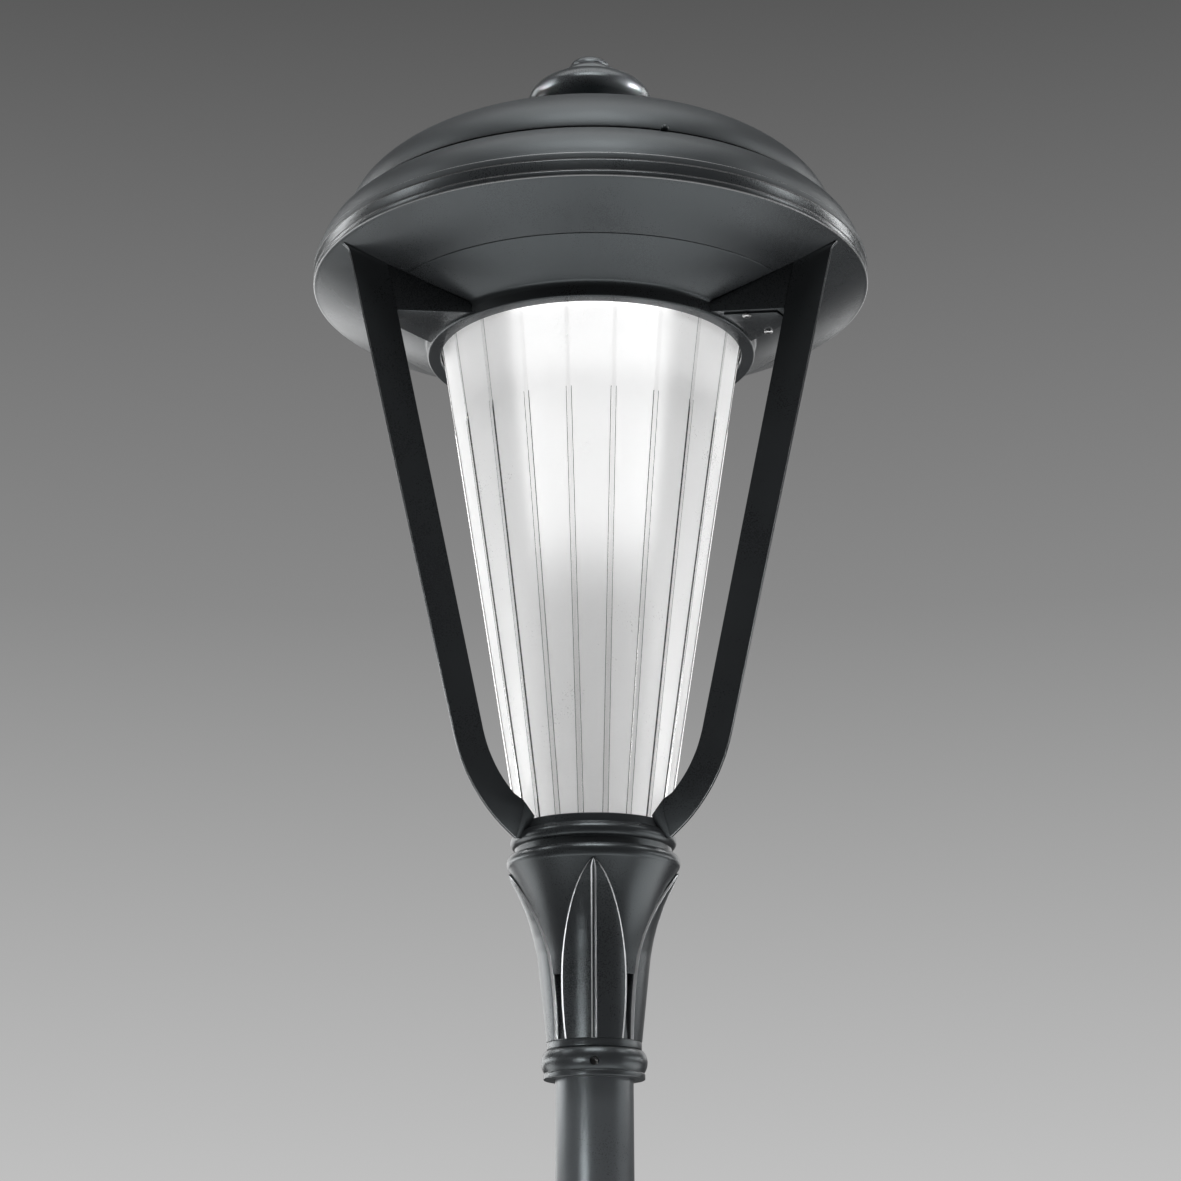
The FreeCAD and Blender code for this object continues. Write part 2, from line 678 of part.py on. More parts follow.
arm_screws = []
for number, place in enumerate(ring_points(arm_screw_station, ARM_ANGLES.values(), arm_screw_seat)):
    head = rod(f"arm_screw_head_{number}", screw_head, 6, place)
    shank = rod(f"arm_screw_shank_{number}", arm_screw_radius, 22.5, (place[0], place[1], place[2] - 22.5))
    arm_screws.append(fused(f"arm_screw_{number}", [head, shank]))
nodes["arm_screws"] = group("arm_screws", arm_screws)

# Lamp tray: cone, ring and three hollow brackets
tray_turned = revolved("tray_turned", [
    (seam_radius, cone_height(seam_radius)),
    (seam_radius, cone_height(seam_radius) + sheet_rise),
    (tray_flat, tray_top),
    (tray_inner, tray_top),
    (tray_inner, tray_floor),
    (tray_hole, tray_floor),
    (tray_hole, tray_bottom),
    (tray_outer - 1.7, tray_bottom),
    (tray_outer, tray_bottom + 1.7),
    (tray_outer, cone_foot - 6),
    (cone_foot_radius, cone_foot),
])


def wedge(label, setback, foot, outer_gap, inner, top):
    """A piece of the filled V between two heights, inside the arm's inner line."""
    low = tray_bottom - 13
    high = cone_edge + 30.4
    band = [
        (arm_line(low) - setback, low),
        (arm_line(high) - setback, high),
        (arm_line(high) - setback - 130, high),
        (arm_line(low) - setback - 130, low),
    ]
    legs = []
    for side, sign in LEG_SIDES.items():
        direction = vector(-math.cos(leg_angle), sign * math.sin(leg_angle), 0)
        sketch = free_sketch(f"{label}_{side}_band", "XZ", band)
        legs.append(extruded(f"{label}_{side}", sketch, direction, 140))
    filled = fused(label + "_filled", legs)
    slab = side_slab(label + "_slab", [
        (inner, foot),
        (arm_back_line(foot) - outer_gap, foot),
        (arm_back_line(top) - outer_gap, top),
        (inner, top),
    ], 80)
    return common(label, [filled, slab])


bracket_blank = wedge("bracket_blank", 0, bracket_floor, slip_gap, tray_hole - 7.5, cone_edge - 4.6)
bracket_solid = cut("bracket_solid", bracket_blank, above_cone)
bracket_setback = bracket_wall * (1 / math.sin(leg_angle))
pocket = wedge("bracket_pocket", bracket_setback, bracket_floor + bracket_wall,
               bracket_wall + slip_gap, tray_flat + 2, cone_edge + 10.4)
brackets = [turned_copy(f"bracket_{name}", bracket_solid, angle) for name, angle in ARM_ANGLES.items()]
pockets = [turned_copy(f"pocket_{name}", pocket, angle) for name, angle in ARM_ANGLES.items()]
tray_well = revolved("tray_well", [
    (0, tray_bottom - 20),
    (tray_hole, tray_bottom - 20),
    (tray_hole, tray_floor),
    (tray_inner, tray_floor),
    (tray_inner, tray_top + 60),
    (0, tray_top + 60),
])
tray_cuts = pockets + [tray_well]
for number, place in enumerate(ring_points(tray_screw_station, TRAY_SCREW_ANGLES, tray_screw_seat - 6)):
    tray_cuts.append(rod(f"tray_hole_{number}", cover_screw_radius + screw_gap, 20, place))
LAMP_SCREW_ANGLES = (0.0, 60.0, 120.0, 180.0, 240.0, 300.0)
lamp_screw_station = tray_inner + 4.2
for number, place in enumerate(ring_points(lamp_screw_station, LAMP_SCREW_ANGLES, tray_top - 5.2)):
    tray_cuts.append(rod(f"lamp_hole_{number}", cover_screw_radius + screw_gap, 20, place))
cover_screw_half = (arm_line(bracket_floor) - cover_screw_station) * 0.3365
cover_screw_places = ((cover_screw_station, cover_screw_half), (cover_screw_station, -1 * cover_screw_half))
cover_hole_rods = []
for number, (along, across) in enumerate(cover_screw_places):
    cover_hole_rods.append(rod(
        f"cover_hole_rod_{number}", cover_screw_radius + screw_gap, 24, (along, across, bracket_floor - 11)))
cable_window = block("cable_window", (26, 30, 20), (cover_screw_station - 7.5, -15, bracket_floor - 11))
gland_height = bracket_floor + 21
gland_face = arm_back_line(gland_height - 9.5) - bracket_wall - slip_gap
gland_hole = rod("gland_hole", 6.1, 40, (gland_face - 16.8, 0, gland_height), vector(1, 0, 0))
cover_holes = group("cover_holes", cover_hole_rods)
right_angle = ARM_ANGLES["right"]
right_cuts = group("right_cuts", [cover_holes, cable_window, gland_hole])
tray_cuts.append(turned_copy("right_bracket_cuts", right_cuts, right_angle))
tray_blank = fused("tray_blank", [tray_turned] + brackets)
nodes["lamp_tray"] = cut("lamp_tray", tray_blank, group("tray_cuts", tray_cuts))

cover_blank = wedge("cover_blank", bracket_setback, bracket_floor - cover_thickness, 8,
                    tray_outer + 4, bracket_floor)
cover_master = cut("cover_master", cover_blank, cover_holes)
nodes["cable_cover"] = turned_copy("cable_cover", cover_master, right_angle)
cover_screws = []
cover_under = bracket_floor - cover_thickness
for number, (along, across) in enumerate(cover_screw_places):
    shank = rod(f"cover_shank_{number}", cover_screw_radius, 10, (along, across, cover_under))
    head = rod(f"cover_head_{number}", cover_head_radius, 2.4, (along, across, cover_under - 2.4))
    slots = fused(f"cover_cross_{number}", [
        block(f"cover_slot_{number}", (6, 1.2, 1.4), (along - 3, across - 0.6, cover_under - 2.4)),
        block(f"cover_slit_{number}", (1.2, 6, 1.4), (along - 0.6, across - 3, cover_under - 2.4)),
    ])
    cover_screws.append(cut(f"cover_screw_{number}", fused(f"cover_pin_{number}", [shank, head]), slots))
cover_screw_pair = group("cover_screw_pair", cover_screws)
nodes["cable_cover_screws"] = turned_copy("cable_cover_screws", cover_screw_pair, right_angle)

gland_body = rod("gland_body", 6, 17, (gland_face - 3, 0, gland_height), vector(1, 0, 0))
gland_nut = doc.addObject("Part::Prism", "gland_nut")
gland_nut.Polygon = 6
gland_nut.Circumradius = 9.5
gland_nut.Height = 5
put(gland_nut, (gland_face - 5, 0, gland_height), FreeCAD.Rotation(UP, vector(1, 0, 0)))
gland_bore = rod("gland_bore", 4, 40, (gland_face - 11.8, 0, gland_height), vector(1, 0, 0))
gland_solid = cut("gland_solid", fused("gland_blank", [gland_body, gland_nut]), gland_bore)
nodes["cable_gland"] = turned_copy("cable_gland", gland_solid, right_angle)

tray_screws = []
for number, place in enumerate(ring_points(tray_screw_station, TRAY_SCREW_ANGLES, tray_screw_seat)):
    head = rod(f"tray_screw_head_{number}", cover_head_radius, 3, place)
    shank_foot = (place[0], place[1], place[2] - 5.6)
    shank = rod(f"tray_screw_shank_{number}", cover_screw_radius, 5.6, shank_foot)
    tray_screws.append(fused(f"tray_screw_{number}", [head, shank]))
nodes["tray_screws"] = group("tray_screws", tray_screws)

# Rim ring, canopy ring and their seal
nodes["rim_ring"] = turned_body("rim_ring", [
    (rim_inner, band_low),
    (rim_radius - rim_bevel, band_low),
    (rim_radius, band_low + rim_bevel),
    (rim_radius, band_high - rim_bevel),
    (rim_radius - rim_bevel, band_high),
    (rim_inner, band_high),
])
seal_inner = rim_inner + 2
seal_outer = rim_inner + 6.5
nodes["canopy_ring"] = turned_body("canopy_ring", [
    (rim_inner, band_high),
    (seal_inner, band_high),
    (seal_inner, band_high + seal_height),
    (seal_outer, band_high + seal_height),
    (seal_outer, band_high),
    (rim_radius - rim_bevel, band_high),
    (rim_radius, band_high + rim_bevel),
    (rim_radius, bead_foot - 1.5),
    (rim_radius - 1.5, bead_foot - 0.5),
    (bead_foot_radius, bead_foot, bead_round, -1),
    (bead_top_radius, bead_top),
    (bead_top_radius - 1, seat_height),
    (seat_radius, seat_height),
    (seat_radius, seat_height - 5),
    (bead_inner_top, seat_height - 7, bead_inner_round, 1),
    (bead_inner_foot, bead_foot),
    (rim_inner, bead_foot),
])
nodes["rim_seal"] = turned_body("rim_seal", [
    (seal_inner, band_high),
    (seal_outer, band_high),
    (seal_outer, band_high + seal_height),
    (seal_inner, band_high + seal_height),
])

# Dome, its seal, the catch and the finial
dome_outer = doc.addObject("Part::Ellipsoid", "dome_outer")
dome_inner = doc.addObject("Part::Ellipsoid", "dome_inner")
for item, inset, sink in ((dome_outer, 0, 0), (dome_inner, dome_foot_wall, dome_wall)):
    item.Angle1 = 0
    put(item, (0, 0, dome_foot), FreeCAD.Rotation())
    bind(item, Radius1=dome_rise - sink, Radius2=dome_radius - inset)
dome_shell = cut("dome_shell", dome_outer, dome_inner)
stud_hole = rod("stud_hole", stud_radius + screw_gap, 80, (0, 0, dome_foot + dome_rise - 41.7))
nodes["dome_cover"] = cut("dome_cover", dome_shell, stud_hole)
nodes["dome_seal"] = turned_body("dome_seal", [
    (seat_radius + 1, seat_height),
    (dome_radius - dome_foot_wall + 3, seat_height),
    (dome_radius - dome_foot_wall + 3, dome_foot),
    (seat_radius + 1, dome_foot),
])
catch_tongue = block("catch_tongue", (6, 7, dome_foot - seat_height), (dome_radius - 2.9, -3.5, seat_height))
catch_head = rod("catch_head", 4.5, 5.5, (bead_top_radius + 2.8, 0, seat_height))
catch_trim = block("catch_trim", (20, 20, 20), (dome_radius - 19.2, -10, seat_height - 7))
catch_blank = fused("catch_blank", [cut("catch_button", catch_head, catch_trim), catch_tongue])
nodes["cover_catch"] = turned_copy("cover_catch", catch_blank, catch_angle)
finial_base = dome_foot + dome_rise
finial_hole = stud_radius + screw_gap
nodes["finial"] = turned_body("finial", [
    (0, finial_base + 24),
    (finial_hole, finial_base + 24),
    (finial_hole, finial_base + 1),
    (finial_foot - 4, finial_base + 1),
    (finial_foot - 4, finial_base - dome_drop(finial_foot - 4)),
    (finial_foot, finial_base - dome_drop(finial_foot)),
    (finial_foot, finial_base + 2),
    (finial_foot * 0.82609, finial_base + 12, 22, 1),
    (finial_foot, finial_base + 33),
    (finial_foot * 1.34783, finial_base + 43, 14, -1),
    (finial_foot * 1.43913, finial_base + 57, 26, -1),
    (finial_foot * 1.17391, finial_base + 71, 22, -1),
    (finial_foot * 0.79348, finial_base + 75.5),
    (finial_foot * 0.75, finial_base + 78, 14, -1),
    (finial_foot * 0.58696, finial_base + 90),
    (finial_foot * 0.46739, finial_base + 91.5, 9, -1),
    (finial_foot * 0.30435, finial_base + 103),
    (finial_foot * 0.19565, finial_base + 106.6),
    (finial_foot * 0.08696, finial_base + 108.5),
    (0, finial_base + 109),
])
dome_crown = dome_foot + dome_rise - dome_wall
nodes["finial_bolt"] = turned_body("finial_bolt", [
    (0, dome_crown - 8.1),
    (6.5, dome_crown - 8.1),
    (6.5, dome_crown - 2.077),
    (10, dome_crown - 2.077),
    (10, dome_crown - 0.077),
    (stud_radius, dome_crown - 0.077),
    (stud_radius, dome_crown + 26),
    (0, dome_crown + 26),
])

# Diffuser and its seals
flute_turn = FreeCAD.Rotation(UP, 180 / flute_count)
diffuser_rims = []
for label, radius, height in (("diffuser_rim_low", diffuser_foot_radius, diffuser_foot),
                              ("diffuser_rim_high", diffuser_head_radius, diffuser_head)):
    polygon = doc.addObject("Part::RegularPolygon", label)
    polygon.Polygon = flute_count
    put(polygon, (0, 0, height), flute_turn)
    diffuser_rims.append(bind(polygon, Circumradius=radius))
diffuser_outer = doc.addObject("Part::Loft", "diffuser_outer")
diffuser_outer.Sections = diffuser_rims
diffuser_outer.Solid = True
diffuser_outer.Ruled = True
diffuser_flange = rod("diffuser_flange", flange_radius, diffuser_head - tray_floor, (0, 0, tray_floor))
flat_share = math.cos(math.pi / flute_count)
diffuser_inner = doc.addObject("Part::Cone", "diffuser_inner")
put(diffuser_inner, (0, 0, diffuser_foot), FreeCAD.Rotation())
bind(diffuser_inner, Radius1=diffuser_foot_radius * flat_share - diffuser_wall,
     Radius2=diffuser_head_radius * flat_share - diffuser_wall, Height=diffuser_head - diffuser_foot)
diffuser_blank = fused("diffuser_blank", [diffuser_outer, diffuser_flange])
nodes["diffuser"] = cut("diffuser", diffuser_blank, diffuser_inner)
nodes["diffuser_head_seal"] = turned_body("diffuser_head_seal", [
    (diffuser_head_radius, diffuser_head),
    (flange_radius, diffuser_head),
    (flange_radius, sink_bottom),
    (diffuser_head_radius, sink_bottom),
])
nodes["diffuser_foot_seal"] = turned_body("diffuser_foot_seal", [
    (foot_seal_inner, cup_floor),
    (cup_inner - 1, cup_floor),
    (cup_inner - 1, diffuser_foot),
    (foot_seal_inner, diffuser_foot),
])

# Light source: heat sink, board, emitters, lens and reflector ring
sink_turned = revolved("sink_turned", [
    (0, sink_bottom),
    (flange_radius, sink_bottom),
    (flange_radius, tray_top),
    (sink_flange_radius, tray_top),
    (sink_flange_radius, sink_flange_top),
    (flange_radius - 6, sink_flange_top),
    (flange_radius - 6, sink_top),
    (0, sink_top),
])
fins = []
fin_field = flange_radius - 26.5
for number in range(-4, 5):
    across = number * fin_pitch
    share = across / fin_field
    half = Dim(fin_field.value * math.sqrt(1 - share.value ** 2),
               f"({fin_field.formula} * sqrt(1 - {share.formula} ^ 2))")
    fins.append(block(f"fin_{number + 4}", (2 * half, fin_thickness, fin_height + 1),
                      (-1 * half, across - 0.5 * fin_thickness, sink_top - 1)))
sink_holes = []
for number, place in enumerate(ring_points(lamp_screw_station, LAMP_SCREW_ANGLES, sink_bottom + 1)):
    sink_holes.append(rod(f"sink_hole_{number}", cover_screw_radius + screw_gap, 30, place))
sink_blank = fused("sink_blank", [sink_turned] + fins)
nodes["heat_sink"] = cut("heat_sink", sink_blank, group("sink_holes", sink_holes))
lamp_screws = []
for number, place in enumerate(ring_points(lamp_screw_station, LAMP_SCREW_ANGLES, sink_flange_top)):
    head = rod(f"lamp_screw_head_{number}", 3.8, 3, place)
    shank_foot = (place[0], place[1], place[2] - 9)
    shank = rod(f"lamp_screw_shank_{number}", cover_screw_radius, 9, shank_foot)
    lamp_screws.append(fused(f"lamp_screw_{number}", [head, shank]))
nodes["lamp_screws"] = group("lamp_screws", lamp_screws)
nodes["led_board"] = turned_body("led_board", [
    (0, sink_bottom - board_thickness),
    (board_radius, sink_bottom - board_thickness),
    (board_radius, sink_bottom),
    (0, sink_bottom),
])
chips = []
chip_base = sink_bottom - board_thickness - chip_height
for ring_share, ring_count in ((0.297, 6), (0.593, 12), (0.864, 18)):
    ring_radius = board_radius * ring_share
    for number in range(ring_count):
        angle = 360.0 * number / ring_count
        chip = block(f"chip_{ring_count}_{number}", (chip_side, chip_side, chip_height), (0, 0, 0))
        turn = FreeCAD.Rotation(UP, angle)
        along = turn.multVec(vector(1, 0, 0))
        inner = ring_radius - 0.5 * chip_side
        side = 0.5 * chip_side
        corner = (inner * along.x + side * along.y, inner * along.y - side * along.x, chip_base)
        chips.append(put(chip, corner, turn))
nodes["led_emitters"] = group("led_emitters", chips)
nodes["lens_plate"] = turned_body("lens_plate", [
    (0, lens_bottom),
    (lens_radius, lens_bottom),
    (lens_radius, sink_bottom),
    (lens_radius - lens_wall, sink_bottom),
    (lens_radius - lens_wall, lens_bottom + lens_thickness),
    (0, lens_bottom + lens_thickness),
])
nodes["reflector_ring"] = turned_body("reflector_ring", [
    (lens_radius + slip_gap, sink_bottom - 1.5),
    (diffuser_head_radius - 7, sink_bottom - 1.5),
    (diffuser_head_radius - 7, sink_bottom),
    (lens_radius + slip_gap, sink_bottom),
])

# Gear plate on posts, driver, surge protector and terminal block
GEAR_POSTS = ((100, 60), (100, -60), (-100, 60), (-100, -60))
posts = []
for number, (along, across) in enumerate(GEAR_POSTS):
    post_foot = (along, across, sink_top)
    posts.append(rod(f"gear_post_{number}", post_radius, gear_height - sink_top, post_foot))
nodes["gear_posts"] = group("gear_posts", posts)
nodes["gear_plate"] = block(
    "gear_plate", (gear_length, gear_width, gear_thickness),
    (-0.5 * gear_length, -0.5 * gear_width, gear_height))
gear_top = gear_height + gear_thickness
driver_block = block("driver_block", (driver_length, driver_width, driver_height),
                     (-0.5 * driver_length, -0.5 * gear_width + 8, gear_top))
driver_ears = block("driver_ears", (driver_length + 36, 24, 4),
                    (-0.5 * driver_length - 18, -0.5 * gear_width + 27, gear_top))
nodes["led_driver"] = fused("led_driver", [driver_block, driver_ears])
nodes["surge_protector"] = block("surge_protector", (56, 34, 30), (-104, 28, gear_top))
terminal_body = block("terminal_body", (72, 26, 18), (10, 34, gear_top))
terminal_holes = []
for number in range(4):
    hole_foot = (19 + 18 * number, 47, gear_top + 8)
    terminal_holes.append(rod(f"terminal_hole_{number}", 3.2, 20, hole_foot))
nodes["terminal_block"] = cut("terminal_block", terminal_body, group("terminal_holes", terminal_holes))

# Test every object, then write each sub-part
doc.recompute()
for item in doc.Objects:
    if "Invalid" in item.State or "Error" in item.State:
        raise RuntimeError(f"{item.Name} did not build: {item.State}")
os.makedirs("parts", exist_ok=True)
for label, item in nodes.items():
    shape = item.Shape
    if shape.isNull() or not shape.isValid() or not shape.Solids:
        raise RuntimeError(f"{label} is not a valid solid")
    item.Label = label
    shape.exportStep(f"parts/{label}.step")
    box = shape.BoundBox
    print(f"{label}: {len(shape.Solids)} solids, {shape.Volume / 1000:.1f} cm3, "
          f"z {box.ZMin:.1f} to {box.ZMax:.1f}, width {box.XLength:.1f}")
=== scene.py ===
"""LED street lantern on its pole top: the dressed model in a plain studio.

Sizes are in millimetres and become metres where a mesh is made. Z is the pole's axis and
points up, z = 0 is the lower edge of the neck's collar and the front is -Y.
"""

import logging
import math
from dataclasses import dataclass
from enum import Enum
from typing import ClassVar, Sequence

import bmesh
import bpy
from mathutils import Matrix, Vector


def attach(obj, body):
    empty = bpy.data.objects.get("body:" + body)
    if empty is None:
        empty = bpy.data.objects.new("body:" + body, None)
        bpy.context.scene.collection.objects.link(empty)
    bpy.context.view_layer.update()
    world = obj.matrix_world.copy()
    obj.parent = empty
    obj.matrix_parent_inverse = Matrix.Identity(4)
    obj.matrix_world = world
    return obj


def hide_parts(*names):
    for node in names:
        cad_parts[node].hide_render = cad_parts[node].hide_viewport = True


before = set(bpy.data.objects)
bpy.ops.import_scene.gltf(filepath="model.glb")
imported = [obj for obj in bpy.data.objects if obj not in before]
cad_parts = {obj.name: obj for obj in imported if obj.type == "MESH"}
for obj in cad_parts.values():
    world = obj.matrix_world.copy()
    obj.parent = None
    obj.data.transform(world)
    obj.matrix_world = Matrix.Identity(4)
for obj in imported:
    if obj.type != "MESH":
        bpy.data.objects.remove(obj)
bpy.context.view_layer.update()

logging.basicConfig(level=logging.INFO, format="%(message)s")
log = logging.getLogger("lantern")

MM = 0.001
MERGE = 2e-6
SLIVER = 1e-7
ARC_STEP = math.radians(5.0)
ROUNDING = 4
ROUNDED_NORMALS = (0.25, 0.93)
FINE_TURN = 224
ROOT = "root"
ARM_ANGLES = {"right": -30.0, "rear": 90.0, "left": 210.0}
ARM_HALF_ANGLE = math.radians(24.0)
COS_ARM = math.cos(ARM_HALF_ANGLE)
SIN_ARM = math.sin(ARM_HALF_ANGLE)
TAN_ARM = SIN_ARM / COS_ARM

Colour = tuple[float, float, float, float]
Point = tuple[float, float]
Place = tuple[float, float, float]


class Slot(Enum):
    """Material slots of the record that the dressed pieces take."""

    COAT = "powder_coat"
    POLE = "pole_paint"
    SCREW = "screw_steel"
    SEAL = "seal_rubber"
    DIFFUSER = "frosted_diffuser"
    LENS = "clear_lens"
    ALUMINIUM = "bare_aluminium"
    ZINC = "zinc_sheet"
    BOARD = "white_board"
    CHIP = "led_chip"
    DRIVER = "driver_case"
    TERMINAL = "terminal_plastic"
    GLAND = "gland_plastic"


@dataclass(frozen=True)
class Corner:
    """One corner of a side view.

    Attributes:
        radius: distance from the axis.
        height: height above the collar's lower edge.
        soft: how far the corner is rounded along both its edges.
        bow: radius of the arc to the next corner, plus to the left of the way and minus to
            the right, or 0 for a straight edge.
    """

    radius: float
    height: float
    soft: float = 0.0
    bow: float = 0.0


def arc_points(start: Vector, end: Vector, bow: float) -> list[Vector]:
    """Points between two ends of an arc.

    Args:
        start: first end.
        end: second end.
        bow: the arc's radius, plus when it bulges to the left of the way.

    Returns:
        The points between the ends, without the ends.
    """
    chord = end - start
    radius = abs(bow)
    reach = math.sqrt(max(radius * radius - chord.length_squared / 4, 0.0))
    left = Vector((-chord.y, chord.x)).normalized()
    centre = (start + end) * 0.5 - left * math.copysign(reach, bow)
    first = start - centre
    turn = math.copysign(2 * math.asin(min(chord.length / (2 * radius), 1.0)), -bow)
    steps = max(4, math.ceil(abs(turn) / ARC_STEP))
    points = []
    for step in range(1, steps):
        angle = turn * step / steps
        cos, sin = math.cos(angle), math.sin(angle)
        way = Vector((first.x * cos - first.y * sin, first.x * sin + first.y * cos))
        points.append(centre + way)
    return points


def arc_radius(start: Point, end: Point, bow: float, height: float) -> float:
    """Radius of an arc of a side view at a height.

    Args:
        start: radius and height of the arc's lower end.
        end: radius and height of its upper end.
        bow: the arc's radius, plus when it bulges to the left of the way.
        height: height above the collar's lower edge.

    Returns:
        The radius in millimetres.
    """
    foot, head = Vector(start), Vector(end)
    rows = [foot] + arc_points(foot, head, bow) + [head]
    for low, high in zip(rows, rows[1:]):
        if height <= high.y:
            return low.x + (high.x - low.x) * (height - low.y) / (high.y - low.y)
    return head.x


def trace(corners: Sequence[Corner], closed: bool) -> list[Vector]:
    """Turns corners into the points of an outline, with arcs and rounded corners.

    Args:
        corners: the corners in order.
        closed: whether the last corner joins the first.

    Returns:
        The outline's points.
    """
    points: list[tuple[Vector, float]] = []
    count = len(corners)
    for index, corner in enumerate(corners):
        here = Vector((corner.radius, corner.height))
        points.append((here, corner.soft))
        if corner.bow and (closed or index < count - 1):
            following = corners[(index + 1) % count]
            there = Vector((following.radius, following.height))
            points.extend((point, 0.0) for point in arc_points(here, there, corner.bow))
    outline = []
    for index, (point, soft) in enumerate(points):
        if not soft:
            outline.append(point)
            continue
        arms = []
        for other in (points[index - 1][0], points[(index + 1) % len(points)][0]):
            way = other - point
            arms.append(point + way.normalized() * min(soft, 0.45 * way.length))
        for step in range(ROUNDING + 1):
            share = step / ROUNDING
            corner_pull = point * (2 * share * (1 - share))
            outline.append(arms[0] * (1 - share) ** 2 + corner_pull + arms[1] * share**2)
    return outline


def wire(bm: bmesh.types.BMesh, places: Sequence[Vector], closed: bool) -> list[bmesh.types.BMEdge]:
    """Lays a chain of edges through points.

    Args:
        bm: mesh to add to.
        places: the points, in metres.
        closed: whether the chain is a loop.

    Returns:
        The new edges.
    """
    verts = [bm.verts.new(place) for place in places]
    ends = verts[1:] + verts[:1] if closed else verts[1:]
    return [bm.edges.new(pair) for pair in zip(verts, ends)]


def settle(bm: bmesh.types.BMesh) -> None:
    """Merges doubles and turns every face outwards.

    Args:
        bm: mesh to settle.
    """
    bmesh.ops.remove_doubles(bm, verts=bm.verts, dist=MERGE)
    bmesh.ops.dissolve_degenerate(bm, edges=bm.edges, dist=SLIVER)
    bmesh.ops.recalc_face_normals(bm, faces=bm.faces)


def cap(bm: bmesh.types.BMesh) -> None:
    """Fills the open ends of a mesh and turns every face outwards."""
    bmesh.ops.holes_fill(bm, edges=[edge for edge in bm.edges if edge.is_boundary], sides=0)
    bmesh.ops.recalc_face_normals(bm, faces=bm.faces)


def skin(bm: bmesh.types.BMesh, loops: Sequence[list[bmesh.types.BMEdge]]) -> None:
    """Bridges each loop of edges to the next."""
    for near, far in zip(loops, loops[1:]):
        bmesh.ops.bridge_loops(bm, edges=near + far)


def new_verts(grown: dict[str, list]) -> list[bmesh.types.BMVert]:
    """The vertices among what an extrusion made."""
    return [item for item in grown["geom"] if isinstance(item, bmesh.types.BMVert)]


def raised(bm: bmesh.types.BMesh, outline: Sequence[Vector]) -> list[bmesh.types.BMVert]:
    """Fills an outline and pulls a second face off it.

    Args:
        bm: mesh to add to.
        outline: the corners, in metres.

    Returns:
        The vertices of the second face, which still lie on the first.
    """
    face = bmesh.ops.contextual_create(bm, geom=wire(bm, outline, True))["faces"]
    return new_verts(bmesh.ops.extrude_face_region(bm, geom=face))


def lathe(corners: Sequence[Corner], segments: int = 144, closed: bool = True) -> bmesh.types.BMesh:
    """Turns a side view about Z.

    Args:
        corners: the side view.
        segments: steps of the full turn.
        closed: whether the side view is a loop; an open one starts and ends on the axis.

    Returns:
        The turned mesh.
    """
    bm = bmesh.new()
    places = [Vector((point.x * MM, 0.0, point.y * MM)) for point in trace(corners, closed)]
    edges = wire(bm, places, closed)
    bmesh.ops.spin(bm, geom=list(bm.verts) + edges, cent=(0, 0, 0), axis=(0, 0, 1),
                   angle=math.tau, steps=segments, use_merge=True, use_duplicate=False)
    settle(bm)
    return bm


def turned(bm: bmesh.types.BMesh, degrees: float) -> bmesh.types.BMesh:
    """Turns a whole mesh about Z.

    Args:
        bm: mesh to turn.
        degrees: angle about Z.

    Returns:
        The same mesh.
    """
    turn = Matrix.Rotation(math.radians(degrees), 3, "Z")
    bmesh.ops.rotate(bm, verts=bm.verts, cent=(0, 0, 0), matrix=turn)
    return bm


def joined(pieces: Sequence[bmesh.types.BMesh]) -> bmesh.types.BMesh:
    """Puts several meshes into one.

    Args:
        pieces: meshes to join, which are used up.

    Returns:
        One mesh with all of them.
    """
    whole = bmesh.new()
    for piece in pieces:
        scratch = bpy.data.meshes.new("joining")
        piece.to_mesh(scratch)
        whole.from_mesh(scratch)
        piece.free()
        bpy.data.meshes.remove(scratch)
    return whole


def mark_highlight_edges(bm: bmesh.types.BMesh, reach: float) -> bmesh.types.BMesh:
    """Marks the rounded edges of a turned mesh for the painted edge highlight.

    Args:
        bm: the turned mesh.
        reach: radius beyond which its edges are marked.

    Returns:
        The same mesh.
    """
    low, high = ROUNDED_NORMALS
    for face in bm.faces:
        centre = face.calc_center_median()
        rounded = low < abs(face.normal.z) < high
        face.material_index = int(rounded and math.hypot(centre.x, centre.y) > reach * MM)
    return bm


def bevel_sharp(bm: bmesh.types.BMesh, width: float, segments: int,
                degrees: float = 32.0) -> list[bmesh.types.BMFace]:
    """Rounds the sharp edges of a mesh.

    Args:
        bm: mesh to change.
        width: width of the rounding in millimetres.
        segments: steps of the rounding.
        degrees: an edge that bends more than this is sharp.

    Returns:
        The faces of the rounding.
    """
    limit = math.radians(degrees)
    sharp = [edge for edge in bm.edges if edge.is_manifold and edge.calc_face_angle(0.0) > limit]
    return bmesh.ops.bevel(bm, geom=sharp, offset=width * MM, offset_type="OFFSET", affect="EDGES",
                           segments=segments, profile=0.5, material=-1, clamp_overlap=True)["faces"]


def show(bm: bmesh.types.BMesh, name: str, finish: "Finish", *nodes: str, sharp: float = 38.0,
         edges: "Finish | None" = None) -> None:
    """Makes a finished piece of the lantern from a mesh.

    Args:
        bm: the mesh, which is used up.
        name: the piece's name.
        finish: its finish.
        nodes: CAD nodes that it stands for.
        sharp: an edge that bends more than this many degrees is shaded sharp.
        edges: finish of the faces whose material index is 1, which paints a highlight on edges.
    """
    mesh = bpy.data.meshes.new(name)
    bm.to_mesh(mesh)
    bm.free()
    mesh.shade_smooth()
    mesh.set_sharp_from_angle(angle=math.radians(sharp))
    piece = bpy.data.objects.new(name, mesh)
    bpy.context.scene.collection.objects.link(piece)
    mesh.materials.append(finish.material())
    if edges:
        mesh.materials.append(edges.material())
    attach(piece, ROOT)
    if nodes:
        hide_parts(*nodes)
    log.info("%s: %d faces", name, len(mesh.polygons))


